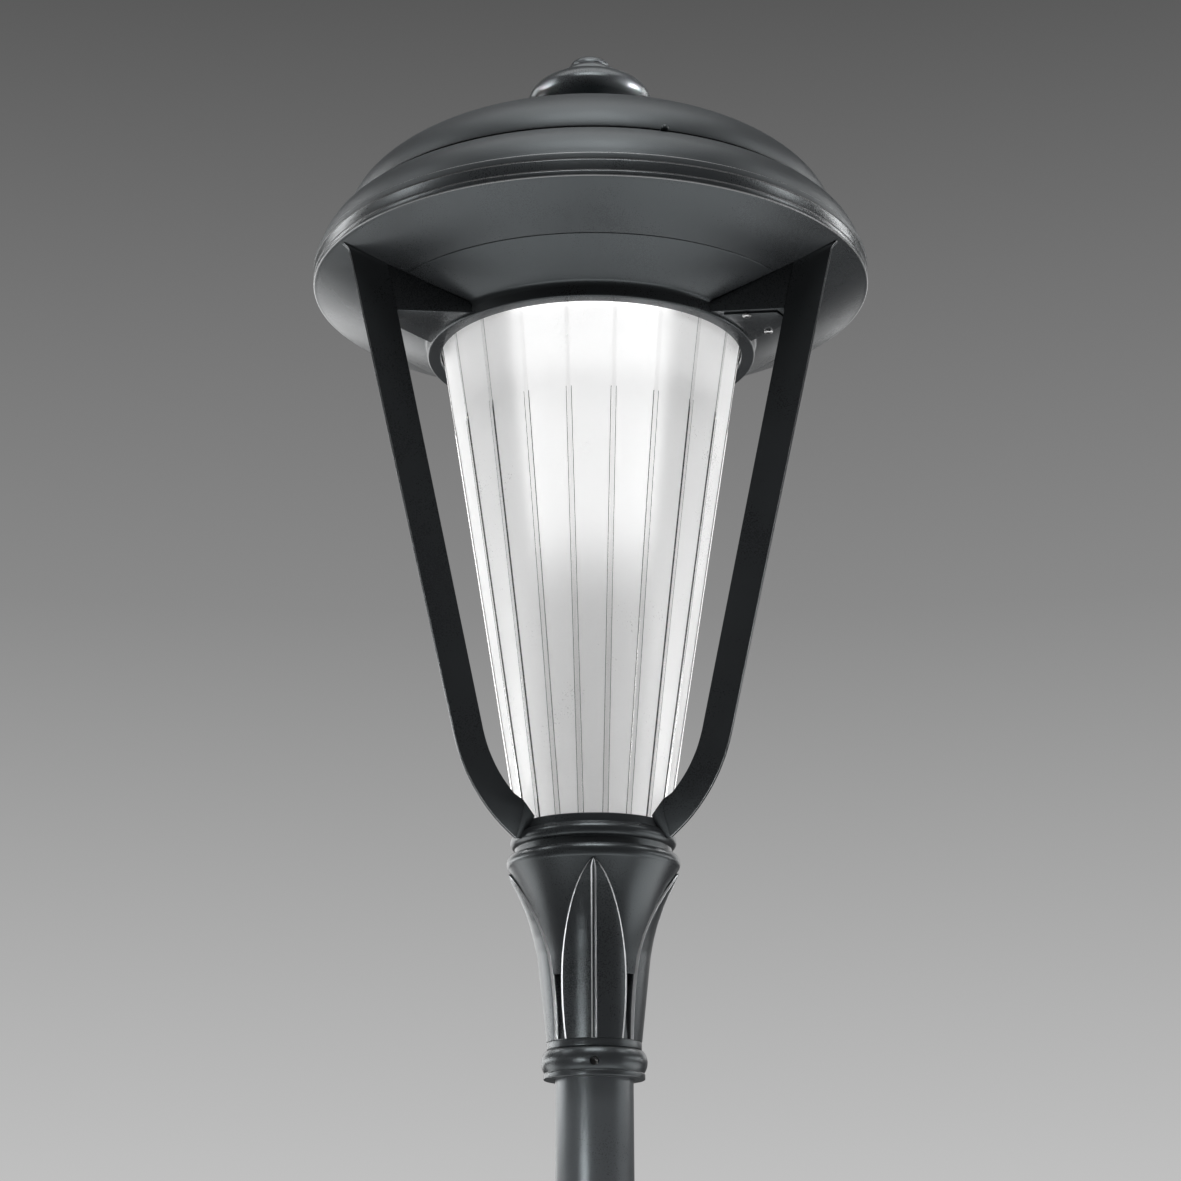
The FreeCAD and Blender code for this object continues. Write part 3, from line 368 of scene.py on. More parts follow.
class GrainGroup:
    """The shader node group that gives each finish its grain."""

    NAME = "Surface Grain"

    @classmethod
    def tree(cls) -> bpy.types.NodeTree:
        """The group, built on its first use."""
        found = bpy.data.node_groups.get(cls.NAME)
        return found if found else cls._build()

    @classmethod
    def _build(cls) -> bpy.types.NodeTree:
        """Builds the group.

        Returns:
            A group with a colour, a roughness and a height that change over the surface.
        """
        tree = bpy.data.node_groups.new(cls.NAME, "ShaderNodeTree")
        face = tree.interface
        face.new_socket("Vector", in_out="INPUT", socket_type="NodeSocketVector")
        for name in ("Light Tone", "Dark Tone"):
            face.new_socket(name, in_out="INPUT", socket_type="NodeSocketColor")
        for name in ("Grain Scale", "Cloud Scale", "Low Roughness", "High Roughness"):
            face.new_socket(name, in_out="INPUT", socket_type="NodeSocketFloat")
        face.new_socket("Colour", in_out="OUTPUT", socket_type="NodeSocketColor")
        for name in ("Roughness", "Height"):
            face.new_socket(name, in_out="OUTPUT", socket_type="NodeSocketFloat")
        nodes, links = tree.nodes, tree.links
        enter = nodes.new("NodeGroupInput")
        leave = nodes.new("NodeGroupOutput")
        fine = nodes.new("ShaderNodeTexNoise")
        fine.inputs["Detail"].default_value = 3.0
        cloud = nodes.new("ShaderNodeTexNoise")
        cloud.inputs["Detail"].default_value = 4.0
        for noise, scale in ((fine, "Grain Scale"), (cloud, "Cloud Scale")):
            links.new(enter.outputs["Vector"], noise.inputs["Vector"])
            links.new(enter.outputs[scale], noise.inputs["Scale"])
        blend = nodes.new("ShaderNodeMath")
        blend.operation = "MULTIPLY_ADD"
        blend.inputs[1].default_value = 0.55
        half = nodes.new("ShaderNodeMath")
        half.operation = "MULTIPLY"
        half.inputs[1].default_value = 0.45
        links.new(fine.outputs["Fac"], half.inputs[0])
        links.new(cloud.outputs["Fac"], blend.inputs[0])
        links.new(half.outputs[0], blend.inputs[2])
        spread = nodes.new("ShaderNodeMapRange")
        spread.inputs["From Min"].default_value = 0.32
        spread.inputs["From Max"].default_value = 0.68
        links.new(blend.outputs[0], spread.inputs["Value"])
        tone = nodes.new("ShaderNodeMix")
        tone.data_type = "RGBA"
        links.new(spread.outputs[0], tone.inputs["Factor"])
        links.new(enter.outputs["Dark Tone"], tone.inputs["A"])
        links.new(enter.outputs["Light Tone"], tone.inputs["B"])
        rough = nodes.new("ShaderNodeMapRange")
        links.new(spread.outputs[0], rough.inputs["Value"])
        links.new(enter.outputs["Low Roughness"], rough.inputs["To Min"])
        links.new(enter.outputs["High Roughness"], rough.inputs["To Max"])
        links.new(tone.outputs["Result"], leave.inputs["Colour"])
        links.new(rough.outputs[0], leave.inputs["Roughness"])
        links.new(fine.outputs["Fac"], leave.inputs["Height"])
        return tree


@dataclass(frozen=True)
class Finish:
    """A surface finish with a fine grain.

    Attributes:
        name: the material's name.
        slot: the record's slot.
        light: lighter tone of the grain.
        dark: darker tone of the grain.
        roughness: lowest and highest roughness.
        metallic: 1 for bare metal.
        grain: grains per metre.
        cloud: scale of the soft clouds that the grain lies in.
        depth: height of the grain in metres.
        transmission: 1 for clear or frosted plastic.
        emission: strength of its own light.
        tint: colour of its gloss seen straight on.
    """

    name: str
    slot: Slot
    light: Colour
    dark: Colour
    roughness: Point = (0.35, 0.45)
    metallic: float = 0.0
    grain: float = 800.0
    cloud: float = 14.0
    depth: float = 0.00011
    transmission: float = 0.0
    emission: float = 0.0
    tint: Colour = (1.0, 1.0, 1.0, 1.0)

    def material(self) -> bpy.types.Material:
        """The finish as a material, built on its first use."""
        found = bpy.data.materials.get(self.name)
        return found if found else self._build()

    def _build(self) -> bpy.types.Material:
        """Builds the material.

        Returns:
            A principled material with the grain group on it.
        """
        material = bpy.data.materials.new(self.name)
        material.use_nodes = True
        nodes, links = material.node_tree.nodes, material.node_tree.links
        shader = nodes["Principled BSDF"]
        place = nodes.new("ShaderNodeTexCoord")
        grain = nodes.new("ShaderNodeGroup")
        grain.node_tree = GrainGroup.tree()
        values = {"Light Tone": self.light, "Dark Tone": self.dark, "Grain Scale": self.grain,
                  "Cloud Scale": self.cloud, "Low Roughness": self.roughness[0],
                  "High Roughness": self.roughness[1]}
        for socket, value in values.items():
            grain.inputs[socket].default_value = value
        links.new(place.outputs["Object"], grain.inputs["Vector"])
        links.new(grain.outputs["Colour"], shader.inputs["Base Color"])
        links.new(grain.outputs["Roughness"], shader.inputs["Roughness"])
        bump = nodes.new("ShaderNodeBump")
        bump.inputs["Strength"].default_value = 1.0
        bump.inputs["Distance"].default_value = self.depth
        links.new(grain.outputs["Height"], bump.inputs["Height"])
        links.new(bump.outputs["Normal"], shader.inputs["Normal"])
        shader.inputs["Metallic"].default_value = self.metallic
        shader.inputs["Transmission Weight"].default_value = self.transmission
        shader.inputs["Specular Tint"].default_value = self.tint
        if self.emission:
            links.new(grain.outputs["Colour"], shader.inputs["Emission Color"])
            shader.inputs["Emission Strength"].default_value = self.emission
        self.dress(material, place, shader)
        return material

    def dress(self, material: bpy.types.Material, place: bpy.types.Node,
              shader: bpy.types.Node) -> None:
        """Adds what a finish has beyond its grain; the plain one adds nothing."""


@dataclass(frozen=True)
class FrostedPaintedGlowFinish(Finish):
    """The diffuser's frosted plastic, lit through by the lens inside it, with a painted glow in its
    emission on top.

    The painted glow is brightest high up, in the openings between the arms.

    Attributes:
        openings: number of openings between the arms, the first at the front.
        heights: heights in metres between which the bright painted glow sets in.
        sides: wave values between which it fades towards the arms, from -1 at an arm to 1
            between two.
        dim: painted glow elsewhere.
        bright: painted glow high up between the arms.
    """

    openings: int = 3
    heights: Point = (0.42, 0.575)
    sides: Point = (-0.55, 0.35)
    dim: float = 0.085
    bright: float = 0.285

    def dress(self, material: bpy.types.Material, place: bpy.types.Node,
              shader: bpy.types.Node) -> None:
        """Paints the glow brighter with height and towards the openings.

        Args:
            material: the diffuser's material.
            place: its texture coordinates.
            shader: its principled shader.
        """
        nodes, links = material.node_tree.nodes, material.node_tree.links

        def math_node(operation: str,
                      *values: float | bpy.types.NodeSocket) -> bpy.types.NodeSocket:
            """A math node with its values or links, and its result.

            Args:
                operation: the node's operation.
                values: numbers or sockets for its inputs.

            Returns:
                The node's result.
            """
            node = nodes.new("ShaderNodeMath")
            node.operation = operation
            for socket, value in zip(node.inputs, values):
                if isinstance(value, bpy.types.NodeSocket):
                    links.new(value, socket)
                else:
                    socket.default_value = value
            return node.outputs[0]

        def ramp(source: bpy.types.NodeSocket, ends: Point, low: float = 0.0,
                 high: float = 1.0) -> bpy.types.NodeSocket:
            """A soft step between two ends, and its result.

            Args:
                source: the value to map.
                ends: values between which the step lies.
                low: result before the step.
                high: result after it.

            Returns:
                The node's result.
            """
            node = nodes.new("ShaderNodeMapRange")
            node.interpolation_type = "SMOOTHSTEP"
            node.inputs["From Min"].default_value, node.inputs["From Max"].default_value = ends
            node.inputs["To Min"].default_value, node.inputs["To Max"].default_value = low, high
            links.new(source, node.inputs["Value"])
            return node.outputs[0]

        split = nodes.new("ShaderNodeSeparateXYZ")
        links.new(place.outputs["Object"], split.inputs[0])
        turn = math_node("ARCTAN2", split.outputs["Y"], split.outputs["X"])
        front = self.openings * math.pi / 2
        wave = math_node("COSINE", math_node("MULTIPLY_ADD", turn, self.openings, front))
        # Painted glow: emission brighter high up and in the openings between the arms.
        spot = math_node("MULTIPLY", ramp(wave, self.sides), ramp(split.outputs["Z"], self.heights))
        links.new(ramp(spot, (0.0, 1.0), self.dim, self.bright), shader.inputs["Emission Color"])
        shader.inputs["Emission Strength"].default_value = 1.0


def grey(value: float, blue: float = 1.0) -> Colour:
    """A grey in linear light, with its blue raised or lowered a little."""
    return (value / blue, value, value * blue, 1.0)


COOL = (0.86, 0.96, 1.0, 1.0)
COAT = Finish("anthracite powder coat", Slot.COAT, grey(0.027, 1.07), grey(0.021, 1.07),
              (0.25, 0.33), tint=COOL)
# Light grey, mostly metallic finish for the leaf and arm edges: a painted highlight along them.
PAINTED_EDGE_HIGHLIGHT = Finish("coat edge painted highlight", Slot.COAT, grey(0.62, 1.02), grey(0.5, 1.02), (0.30, 0.40),
              metallic=0.8)
# Lighter, partly metallic finish for the rounded edges of the rim and the dome's foot: a painted
# highlight along them.
RIM_PAINTED_HIGHLIGHT = Finish("rim edge painted highlight", Slot.COAT, grey(0.20, 1.02), grey(0.16, 1.02), (0.25, 0.33),
                  metallic=0.4)
MATT_COAT = Finish("anthracite matt coat", Slot.COAT, grey(0.027, 1.07), grey(0.021, 1.07),
                   (0.44, 0.52), tint=COOL)
POLE = Finish("pole paint", Slot.POLE, grey(0.062, 1.07), grey(0.05, 1.07), (0.26, 0.34), tint=COOL)
SCREW = Finish("stainless screw", Slot.SCREW, grey(0.55), grey(0.42), (0.22, 0.34), metallic=1.0,
               depth=0.00002)
BLACK_SCREW = Finish("blackened screw", Slot.SCREW, grey(0.26), grey(0.2), (0.35, 0.45),
                     metallic=1.0, depth=0.00002)
SEAL = Finish("black seal", Slot.SEAL, grey(0.012), grey(0.008), (0.6, 0.75))
FROST = FrostedPaintedGlowFinish("frosted diffuser", Slot.DIFFUSER, grey(0.86), grey(0.80), (0.26, 0.34),
                      depth=0.00006, grain=600.0, transmission=0.85)
# Dark grey for the lips beside the ribs: painted shade lines along each rib.
RIB_SHADE_LINE = Finish("rib painted shade line", Slot.DIFFUSER, grey(0.30), grey(0.26), (0.2, 0.3), depth=0.0,
                  transmission=0.4)
RIB = Finish("clear rib", Slot.DIFFUSER, grey(0.98), grey(0.96), (0.03, 0.05), depth=0.0,
             transmission=1.0)
LENS = Finish("lit lens", Slot.LENS, grey(0.85), grey(0.80), (0.25, 0.35), depth=0.0, emission=0.22)
ALUMINIUM = Finish("bare aluminium", Slot.ALUMINIUM, grey(0.62), grey(0.5), (0.3, 0.42),
                   metallic=1.0)
ZINC = Finish("zinc sheet", Slot.ZINC, grey(0.5), grey(0.36), (0.32, 0.5), metallic=1.0, cloud=40.0)
BOARD = Finish("white board", Slot.BOARD, grey(0.82), grey(0.76), (0.4, 0.5))
CHIP = Finish("lit chip", Slot.CHIP, (1.0, 0.97, 0.9, 1.0), (1.0, 0.95, 0.86, 1.0), (0.4, 0.5),
              emission=2.0)
DRIVER = Finish("driver case", Slot.DRIVER, grey(0.72), grey(0.64), (0.4, 0.5))
TERMINAL = Finish("terminal plastic", Slot.TERMINAL, (0.62, 0.60, 0.52, 1.0),
                  (0.54, 0.52, 0.45, 1.0))
GLAND = Finish("gland plastic", Slot.GLAND, grey(0.03), grey(0.02), (0.45, 0.55))

INNER_NODES = {
    "arm_screws": SCREW, "tray_screws": SCREW, "lamp_screws": SCREW, "finial_bolt": SCREW,
    "rim_seal": SEAL, "diffuser_head_seal": SEAL, "diffuser_foot_seal": SEAL,
    "lens_plate": LENS, "heat_sink": ALUMINIUM, "gear_posts": ALUMINIUM, "gear_plate": ZINC,
    "led_board": BOARD, "reflector_ring": BOARD, "led_emitters": CHIP, "led_driver": DRIVER,
    "surge_protector": DRIVER, "terminal_block": TERMINAL, "cable_gland": GLAND,
}


def dress_inner_nodes() -> None:
    """Gives the CAD nodes that stay as they are their finishes."""
    for node, finish in INNER_NODES.items():
        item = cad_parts[node]
        item.data.materials.clear()
        item.data.materials.append(finish.material())
        log.info("%s: %s", node, finish.name)


@dataclass
class PoleTop:
    """The plain round tube that carries the lantern.

    Attributes:
        radius: its outer radius.
        bore: its inner radius.
        foot: height of its lower end.
        head: height of its upper end, inside the neck.
    """

    radius: float = 38.0
    bore: float = 35.0
    foot: float = -120.0
    head: float = 93.0

    def build(self) -> None:
        """Builds the tube."""
        tube = lathe([
            Corner(self.bore, self.foot, 0.5),
            Corner(self.radius, self.foot, 1.2),
            Corner(self.radius, self.head, 0.5),
            Corner(self.bore, self.head, 0.5),
        ], 128)
        show(tube, "pole_top", POLE, "pole_stub")


@dataclass
class Neck:
    """The neck casting: collar, core, flared bell, four leaves and the set screws.

    Attributes:
        socket: radius of the pole's socket.
        core: radius of the core behind the leaves.
        collar_skin: radius beyond which a face belongs to the collar's outside.
        collar_top: height of the collar's upper edge.
        bell_edge: height of the bell's lower edge.
        bell_rim: height at which the bell is widest.
        leaf_tip: height of the leaves' tips.
        leaf_half: half of a leaf's width where it is broadest.
        leaf_foot_half: half of its width at the collar.
        leaf_broad: height at which it is broadest.
        leaf_belly: how far its sides bow out below that height.
        leaf_arch: power of the curve from there to the tip.
        leaf_round: radius of its face across.
        leaf_foot: radius and height of its face at the collar.
        leaf_bend: radius and height of its face where it starts to curve outwards.
        leaf_head: radius and height of its face where the curve ends.
        leaf_bow: radius of that curve.
        leaf_lean: how much the face leans out above the curve.
        leaf_back: radii that its side walls go back to at the bell's edge and rim.
        leaf_narrow: half width below which groove and bevel shrink.
        leaf_rows: rows of faces along a leaf.
        row_crowding: power by which the rows crowd towards the tip.
        groove_half: half of the width of the groove down the leaf.
        groove_depth: depth of that groove.
        edge_bevel: width of the bevel along a leaf's edge.
        screw_height: height of the set screws.
        screw_radius: radius of the set screws.
        screw_face: radius at which the set screws' faces lie.
        screw_point: radius at which their points lie.
        screw_socket: half of the width across the corners of their hexagon.
        screw_clearance: play of a set screw in its hole.
    """

    SCREW_ANGLES: ClassVar[tuple[float, ...]] = (-90.0, 30.0, 150.0)
    GROOVE: ClassVar[tuple[Point, ...]] = (
        (0.0, 1.0), (0.28, 1.0), (0.42, 0.92), (0.88, 0.1), (1.02, 0.01), (1.25, 0.0))
    FLAT_STRIPS: ClassVar[int] = 7
    BEVEL: ClassVar[tuple[Point, ...]] = ((0.12, 0.03), (0.3, 0.22), (0.85, 1.05), (1.0, 1.35))
    # Strips across a leaf, on the groove walls and the edge bevels, that take the painted highlight
    # finish.
    PAINTED_HIGHLIGHT_STRIPS: ClassVar[frozenset[int]] = frozenset((2, 3, 13, 14))
    HOLE_SIDES: ClassVar[int] = 20
    SCREW_SIDES: ClassVar[int] = 24

    socket: float = 38.4
    core: float = 43.0
    collar_skin: float = 45.0
    collar_top: float = 36.0
    bell_edge: float = 98.0
    bell_rim: float = 205.0
    leaf_tip: float = 202.0
    leaf_half: float = 32.0
    leaf_foot_half: float = 28.5
    leaf_broad: float = 95.0
    leaf_belly: float = 0.9
    leaf_arch: float = 0.65
    leaf_round: float = 46.0
    leaf_foot: Point = (46.7, 35.5)
    leaf_bend: Point = (54.27, 105.0)
    leaf_head: Point = (82.0, 194.86)
    leaf_bow: float = 215.0
    leaf_lean: float = 0.36
    leaf_back: Point = (49.0, 82.0)
    leaf_narrow: float = 9.0
    leaf_rows: int = 72
    row_crowding: float = 1.35
    groove_half: float = 2.6
    groove_depth: float = 2.3
    edge_bevel: float = 2.0
    screw_height: float = 13.0
    screw_radius: float = 4.0
    screw_face: float = 46.0
    screw_point: float = 39.4
    screw_socket: float = 2.4
    screw_clearance: float = 0.3

    def build(self) -> None:
        """Builds the casting and its set screws."""
        body = self._turned_body()
        for angle in self.SCREW_ANGLES:
            self._drill_collar(body, angle)
        leaves = [turned(self._leaf(), 90.0 * quarter) for quarter in range(4)]
        show(joined([body] + leaves), "neck_with_leaves", COAT, "neck_casting", edges=PAINTED_EDGE_HIGHLIGHT)
        screws = [turned(self._set_screw(), angle) for angle in self.SCREW_ANGLES]
        show(joined(screws), "set_screws", BLACK_SCREW, "grub_screws")

    def _turned_body(self) -> bmesh.types.BMesh:
        """Collar, core and bell as one turned mesh."""
        return lathe([
            Corner(self.socket, 0.0, 0.5),
            Corner(49.4, 0.0, 1.0),
            Corner(49.4, 5.0, 0.7),
            Corner(48.2, 6.0, 0.4, -16.6),
            Corner(48.2, 26.5, 0.4),
            Corner(45.2, 27.5, 0.5),
            Corner(46.3, 28.6, 0.6),
            Corner(46.3, self.collar_top, 1.4),
            Corner(self.core, self.collar_top, 0.6),
            Corner(self.core, 108.0, 0.5),
            Corner(47.2, 108.0, 0.4),
            Corner(47.2, self.bell_edge, 0.6),
            Corner(50.33, self.bell_edge, 0.9, 218.5),
            Corner(83.99, self.bell_rim, 0.6, -9.3),
            Corner(83.0, 218.0, 0.8),
            Corner(75.6, 218.0, 0.5),
            Corner(75.6, 202.9, 0.0, -224.5),
            Corner(45.6, 114.0, 0.5),
            Corner(26.0, 114.0, 0.5),
            Corner(26.0, 93.0, 0.5),
            Corner(self.socket, 93.0, 0.5),
        ], 160)

    def _leaf_radius(self, height: float) -> float:
        """Radius of the leaf's face at a height.

        Args:
            height: height above the collar's lower edge.

        Returns:
            The radius in millimetres.
        """
        foot, bend, head = self.leaf_foot, self.leaf_bend, self.leaf_head
        if height < bend[1]:
            return foot[0] + (bend[0] - foot[0]) * (height - foot[1]) / (bend[1] - foot[1])
        if height > head[1]:
            return head[0] + (height - head[1]) * self.leaf_lean
        return arc_radius(bend, head, self.leaf_bow, height)

    def _leaf_width(self, height: float) -> float:
        """Half of the leaf's width at a height.

        Args:
            height: height above the collar's lower edge.

        Returns:
            The distance from the middle, in millimetres.
        """
        if height <= self.leaf_broad:
            middle = (self.collar_top + self.leaf_broad) / 2
            share = (height - self.collar_top) / (self.leaf_broad - self.collar_top)
            bow = 1 - ((height - middle) / (self.leaf_broad - middle)) ** 2
            half = self.leaf_foot_half + (self.leaf_half - self.leaf_foot_half) * share
            return half + self.leaf_belly * bow
        share = min((height - self.leaf_broad) / (self.leaf_tip - self.leaf_broad), 1.0)
        return self.leaf_half * (1 - share * share) ** self.leaf_arch

    def _stations(self, half: float) -> list[Point]:
        """Places across half of a leaf, from its middle to its edge, with how deep each lies.

        Args:
            half: half of the leaf's width.

        Returns:
            Pairs of distance from the middle and depth below the leaf's face.
        """
        share = min(1.0, half / self.leaf_narrow)
        groove, depth = self.groove_half * share, self.groove_depth * share
        places = [(groove * out, depth * deep) for out, deep in self.GROOVE]
        bevel = self.edge_bevel * share
        start, end = places[-1][0], half - bevel
        strips = self.FLAT_STRIPS
        places += [(start + (end - start) * step / strips, 0.0) for step in range(1, strips + 1)]
        places += [(end + bevel * out, bevel * deep) for out, deep in self.BEVEL]
        return places

    def _leaf(self) -> bmesh.types.BMesh:
        """One leaf, at the +X quarter.

        Returns:
            A closed leaf with a groove down its middle and bevelled edges, with a painted highlight
            on the groove walls and bevels.
        """
        count = len(self._stations(self.leaf_half))
        bm = bmesh.new()
        bmesh.ops.create_grid(bm, x_segments=2 * count - 2, y_segments=self.leaf_rows, size=1.0)
        # Faces on the groove walls and edge bevels get the painted highlight finish.
        for face in bm.faces:
            strip = int(abs(face.calc_center_median().x) * (count - 1))
            face.material_index = int(strip in self.PAINTED_HIGHLIGHT_STRIPS)
        low, high = self.collar_top - 0.4, self.leaf_tip - 0.1
        for vert in bm.verts:
            column = round(vert.co.x * (count - 1))
            along = (vert.co.y + 1) / 2
            height = low + (high - low) * (1 - (1 - along) ** self.row_crowding)
            lateral, depth = self._stations(max(self._leaf_width(height), 0.3))[abs(column)]
            sunk = self.leaf_round - math.sqrt(self.leaf_round**2 - lateral**2)
            face = self._leaf_radius(height) - depth - sunk
            vert.co = Vector((face, math.copysign(lateral, column), height)) * MM
        rim = [edge for edge in bm.edges if edge.is_boundary]
        grown = bmesh.ops.extrude_edge_only(bm, edges=rim)
        for face in (item for item in grown["geom"] if isinstance(item, bmesh.types.BMFace)):
            face.material_index = 0
        for vert in new_verts(grown):
            height = vert.co.z / MM
            reach = math.hypot(vert.co.x, vert.co.y)
            pull = min(self._back_radius(height) * MM / reach, 1.0 - 0.001 / reach)
            vert.co.x *= pull
            vert.co.y *= pull
        bmesh.ops.remove_doubles(bm, verts=bm.verts, dist=MERGE)
        bmesh.ops.recalc_face_normals(bm, faces=bm.faces)
        return bm

    def _back_radius(self, height: float) -> float:
        """Radius that a leaf's side wall goes back to, inside the core or the bell.

        Args:
            height: height above the collar's lower edge.

        Returns:
            The radius in millimetres.
        """
        if height < self.bell_edge:
            return self.core - 0.6
        share = (height - self.bell_edge) / (self.bell_rim - self.bell_edge)
        low, high = self.leaf_back
        return low + (high - low) * share * share

    def _drill_collar(self, bm: bmesh.types.BMesh, degrees: float) -> None:
        """Cuts the hole of one set screw into the collar.

        Args:
            bm: the turned body.
            degrees: direction of the hole about Z.
        """
        turned(bm, -degrees)
        hole = self.screw_radius + self.screw_clearance
        middle = Vector((0.0, 0.0, self.screw_height * MM))

        def near(face: bmesh.types.BMFace, reach: float) -> bool:
            """Whether a face of the collar's outside is within a reach of the hole's axis.

            Args:
                face: the face to test.
                reach: distance from the axis.

            Returns:
                True for a face within it.
            """
            centre = face.calc_center_median()
            off_axis = math.hypot(centre.y, centre.z - middle.z)
            return centre.x > self.collar_skin * MM and off_axis < reach * MM

        sides = self.HOLE_SIDES
        for side in range(sides):
            angle = math.tau * side / sides
            way = Vector((0.0, math.cos(angle), math.sin(angle)))
            faces = [face for face in bm.faces if near(face, hole + 6.0)]
            geometry = faces + list({edge for face in faces for edge in face.edges})
            geometry += list({vert for face in faces for vert in face.verts})
            bmesh.ops.bisect_plane(bm, geom=geometry, dist=SLIVER,
                                   plane_co=middle + way * hole * MM, plane_no=way)
        inside = [face for face in bm.faces if near(face, hole * math.cos(math.pi / sides))]
        rim = {edge for face in inside for edge in face.edges
               if any(other not in inside for other in edge.link_faces)}
        bmesh.ops.delete(bm, geom=inside, context="FACES")
        grown = bmesh.ops.extrude_edge_only(bm, edges=[edge for edge in rim if edge.is_valid])
        for vert in new_verts(grown):
            vert.co.x = (self.socket + 0.6) * MM
        floor = [item for item in grown["geom"]
                 if isinstance(item, bmesh.types.BMEdge) and item.is_boundary]
        bmesh.ops.holes_fill(bm, edges=floor, sides=0)
        turned(bm, degrees)

    def _set_screw(self) -> bmesh.types.BMesh:
        """A set screw with a hexagon socket, in the +X direction.

        Returns:
            The closed screw.
        """
        bm = bmesh.new()
        steps = self.SCREW_SIDES

        def ring(radius: float, height: float, sides: int) -> list[bmesh.types.BMEdge]:
            """A loop of edges: a circle, or a hexagon where it has six sides.

            Args:
                radius: radius of the circle, or of the hexagon's corners.
                height: distance from the lantern's axis.
                sides: number of flat sides.

            Returns:
                The loop's edges.
            """
            places = []
            span = math.tau / sides
            for step in range(steps):
                angle = math.tau * step / steps
                flat = radius
                if sides < steps:
                    flat *= math.cos(span / 2) / math.cos((angle % span) - span / 2)
                places.append(Vector((height, flat * math.cos(angle), flat * math.sin(angle))) * MM)
            return wire(bm, places, True)

        face, radius, socket = self.screw_face, self.screw_radius, self.screw_socket
        skin(bm, [
            ring(radius, self.screw_point, steps), ring(radius, face - 0.5, steps),
            ring(radius - 0.5, face, steps), ring(socket + 0.15, face, 6),
            ring(socket, face - 0.3, 6), ring(socket, face - 4.0, 6),
        ])
        cap(bm)
        bmesh.ops.translate(bm, verts=bm.verts, vec=(0, 0, self.screw_height * MM))
        return bm


@dataclass
class Cup:
    """The base cup between the neck and the diffuser, with a lug behind each arm's foot.

    Attributes:
        valley: radius of the valley under the rolled flange.
        rim: outer radius of the rim band.
        inner: inner radius of the rim band.
        floor: height of the cup's floor.
        joint: radius at which the lugs meet the arms.
        lug_top: height of a lug at the arm.
        lug_back: height of a lug at the cup.
    """

    valley: float = 78.0
    rim: float = 78.2
    inner: float = 76.3
    floor: float = 234.0
    joint: float = 88.0
    lug_top: float = 263.0
    lug_back: float = 249.5

    def build(self) -> None:
        """Builds the cup and its lugs."""
        body = lathe([
            Corner(0.0, 228.0),
            Corner(70.0, 228.0, 0.5),
            Corner(70.0, 212.0, 0.5),
            Corner(75.2, 212.0, 0.5),
            Corner(75.2, 218.0),
            Corner(self.valley, 218.0, 0.5),
            Corner(self.valley, 225.2, 0.4),
            Corner(79.0, 226.0, 0.3, -7.7),
            Corner(79.0, 239.0, 0.3),
            Corner(self.rim, 239.8, 0.4),
            Corner(self.rim, 248.0, 1.1),
            Corner(self.inner, 248.0, 0.5),
            Corner(self.inner, self.floor, 0.5),
            Corner(0.0, self.floor),
        ], 160, closed=False)
        lugs = [turned(self._lug(), angle) for angle in ARM_ANGLES.values()]
        show(joined([body] + lugs), "cup_with_lugs", COAT, "base_cup")

    def _lug(self) -> bmesh.types.BMesh:
        """A wedge lug, in the +X direction.

        Returns:
            The closed lug.
        """
        bm = bmesh.new()
        corners = ((-1.6, 229.7), (1.6, 229.7), (18.9, self.lug_top), (-18.9, self.lug_top))
        outline = [Vector((self.joint * MM, y * MM, z * MM)) for y, z in corners]
        for vert in raised(bm, outline):
            vert.co.x = (self.inner + 0.3) * MM
            vert.co.z = min(vert.co.z, self.lug_back * MM)
        bmesh.ops.recalc_face_normals(bm, faces=bm.faces)
        bevel_sharp(bm, 0.6, 2)
        return bm


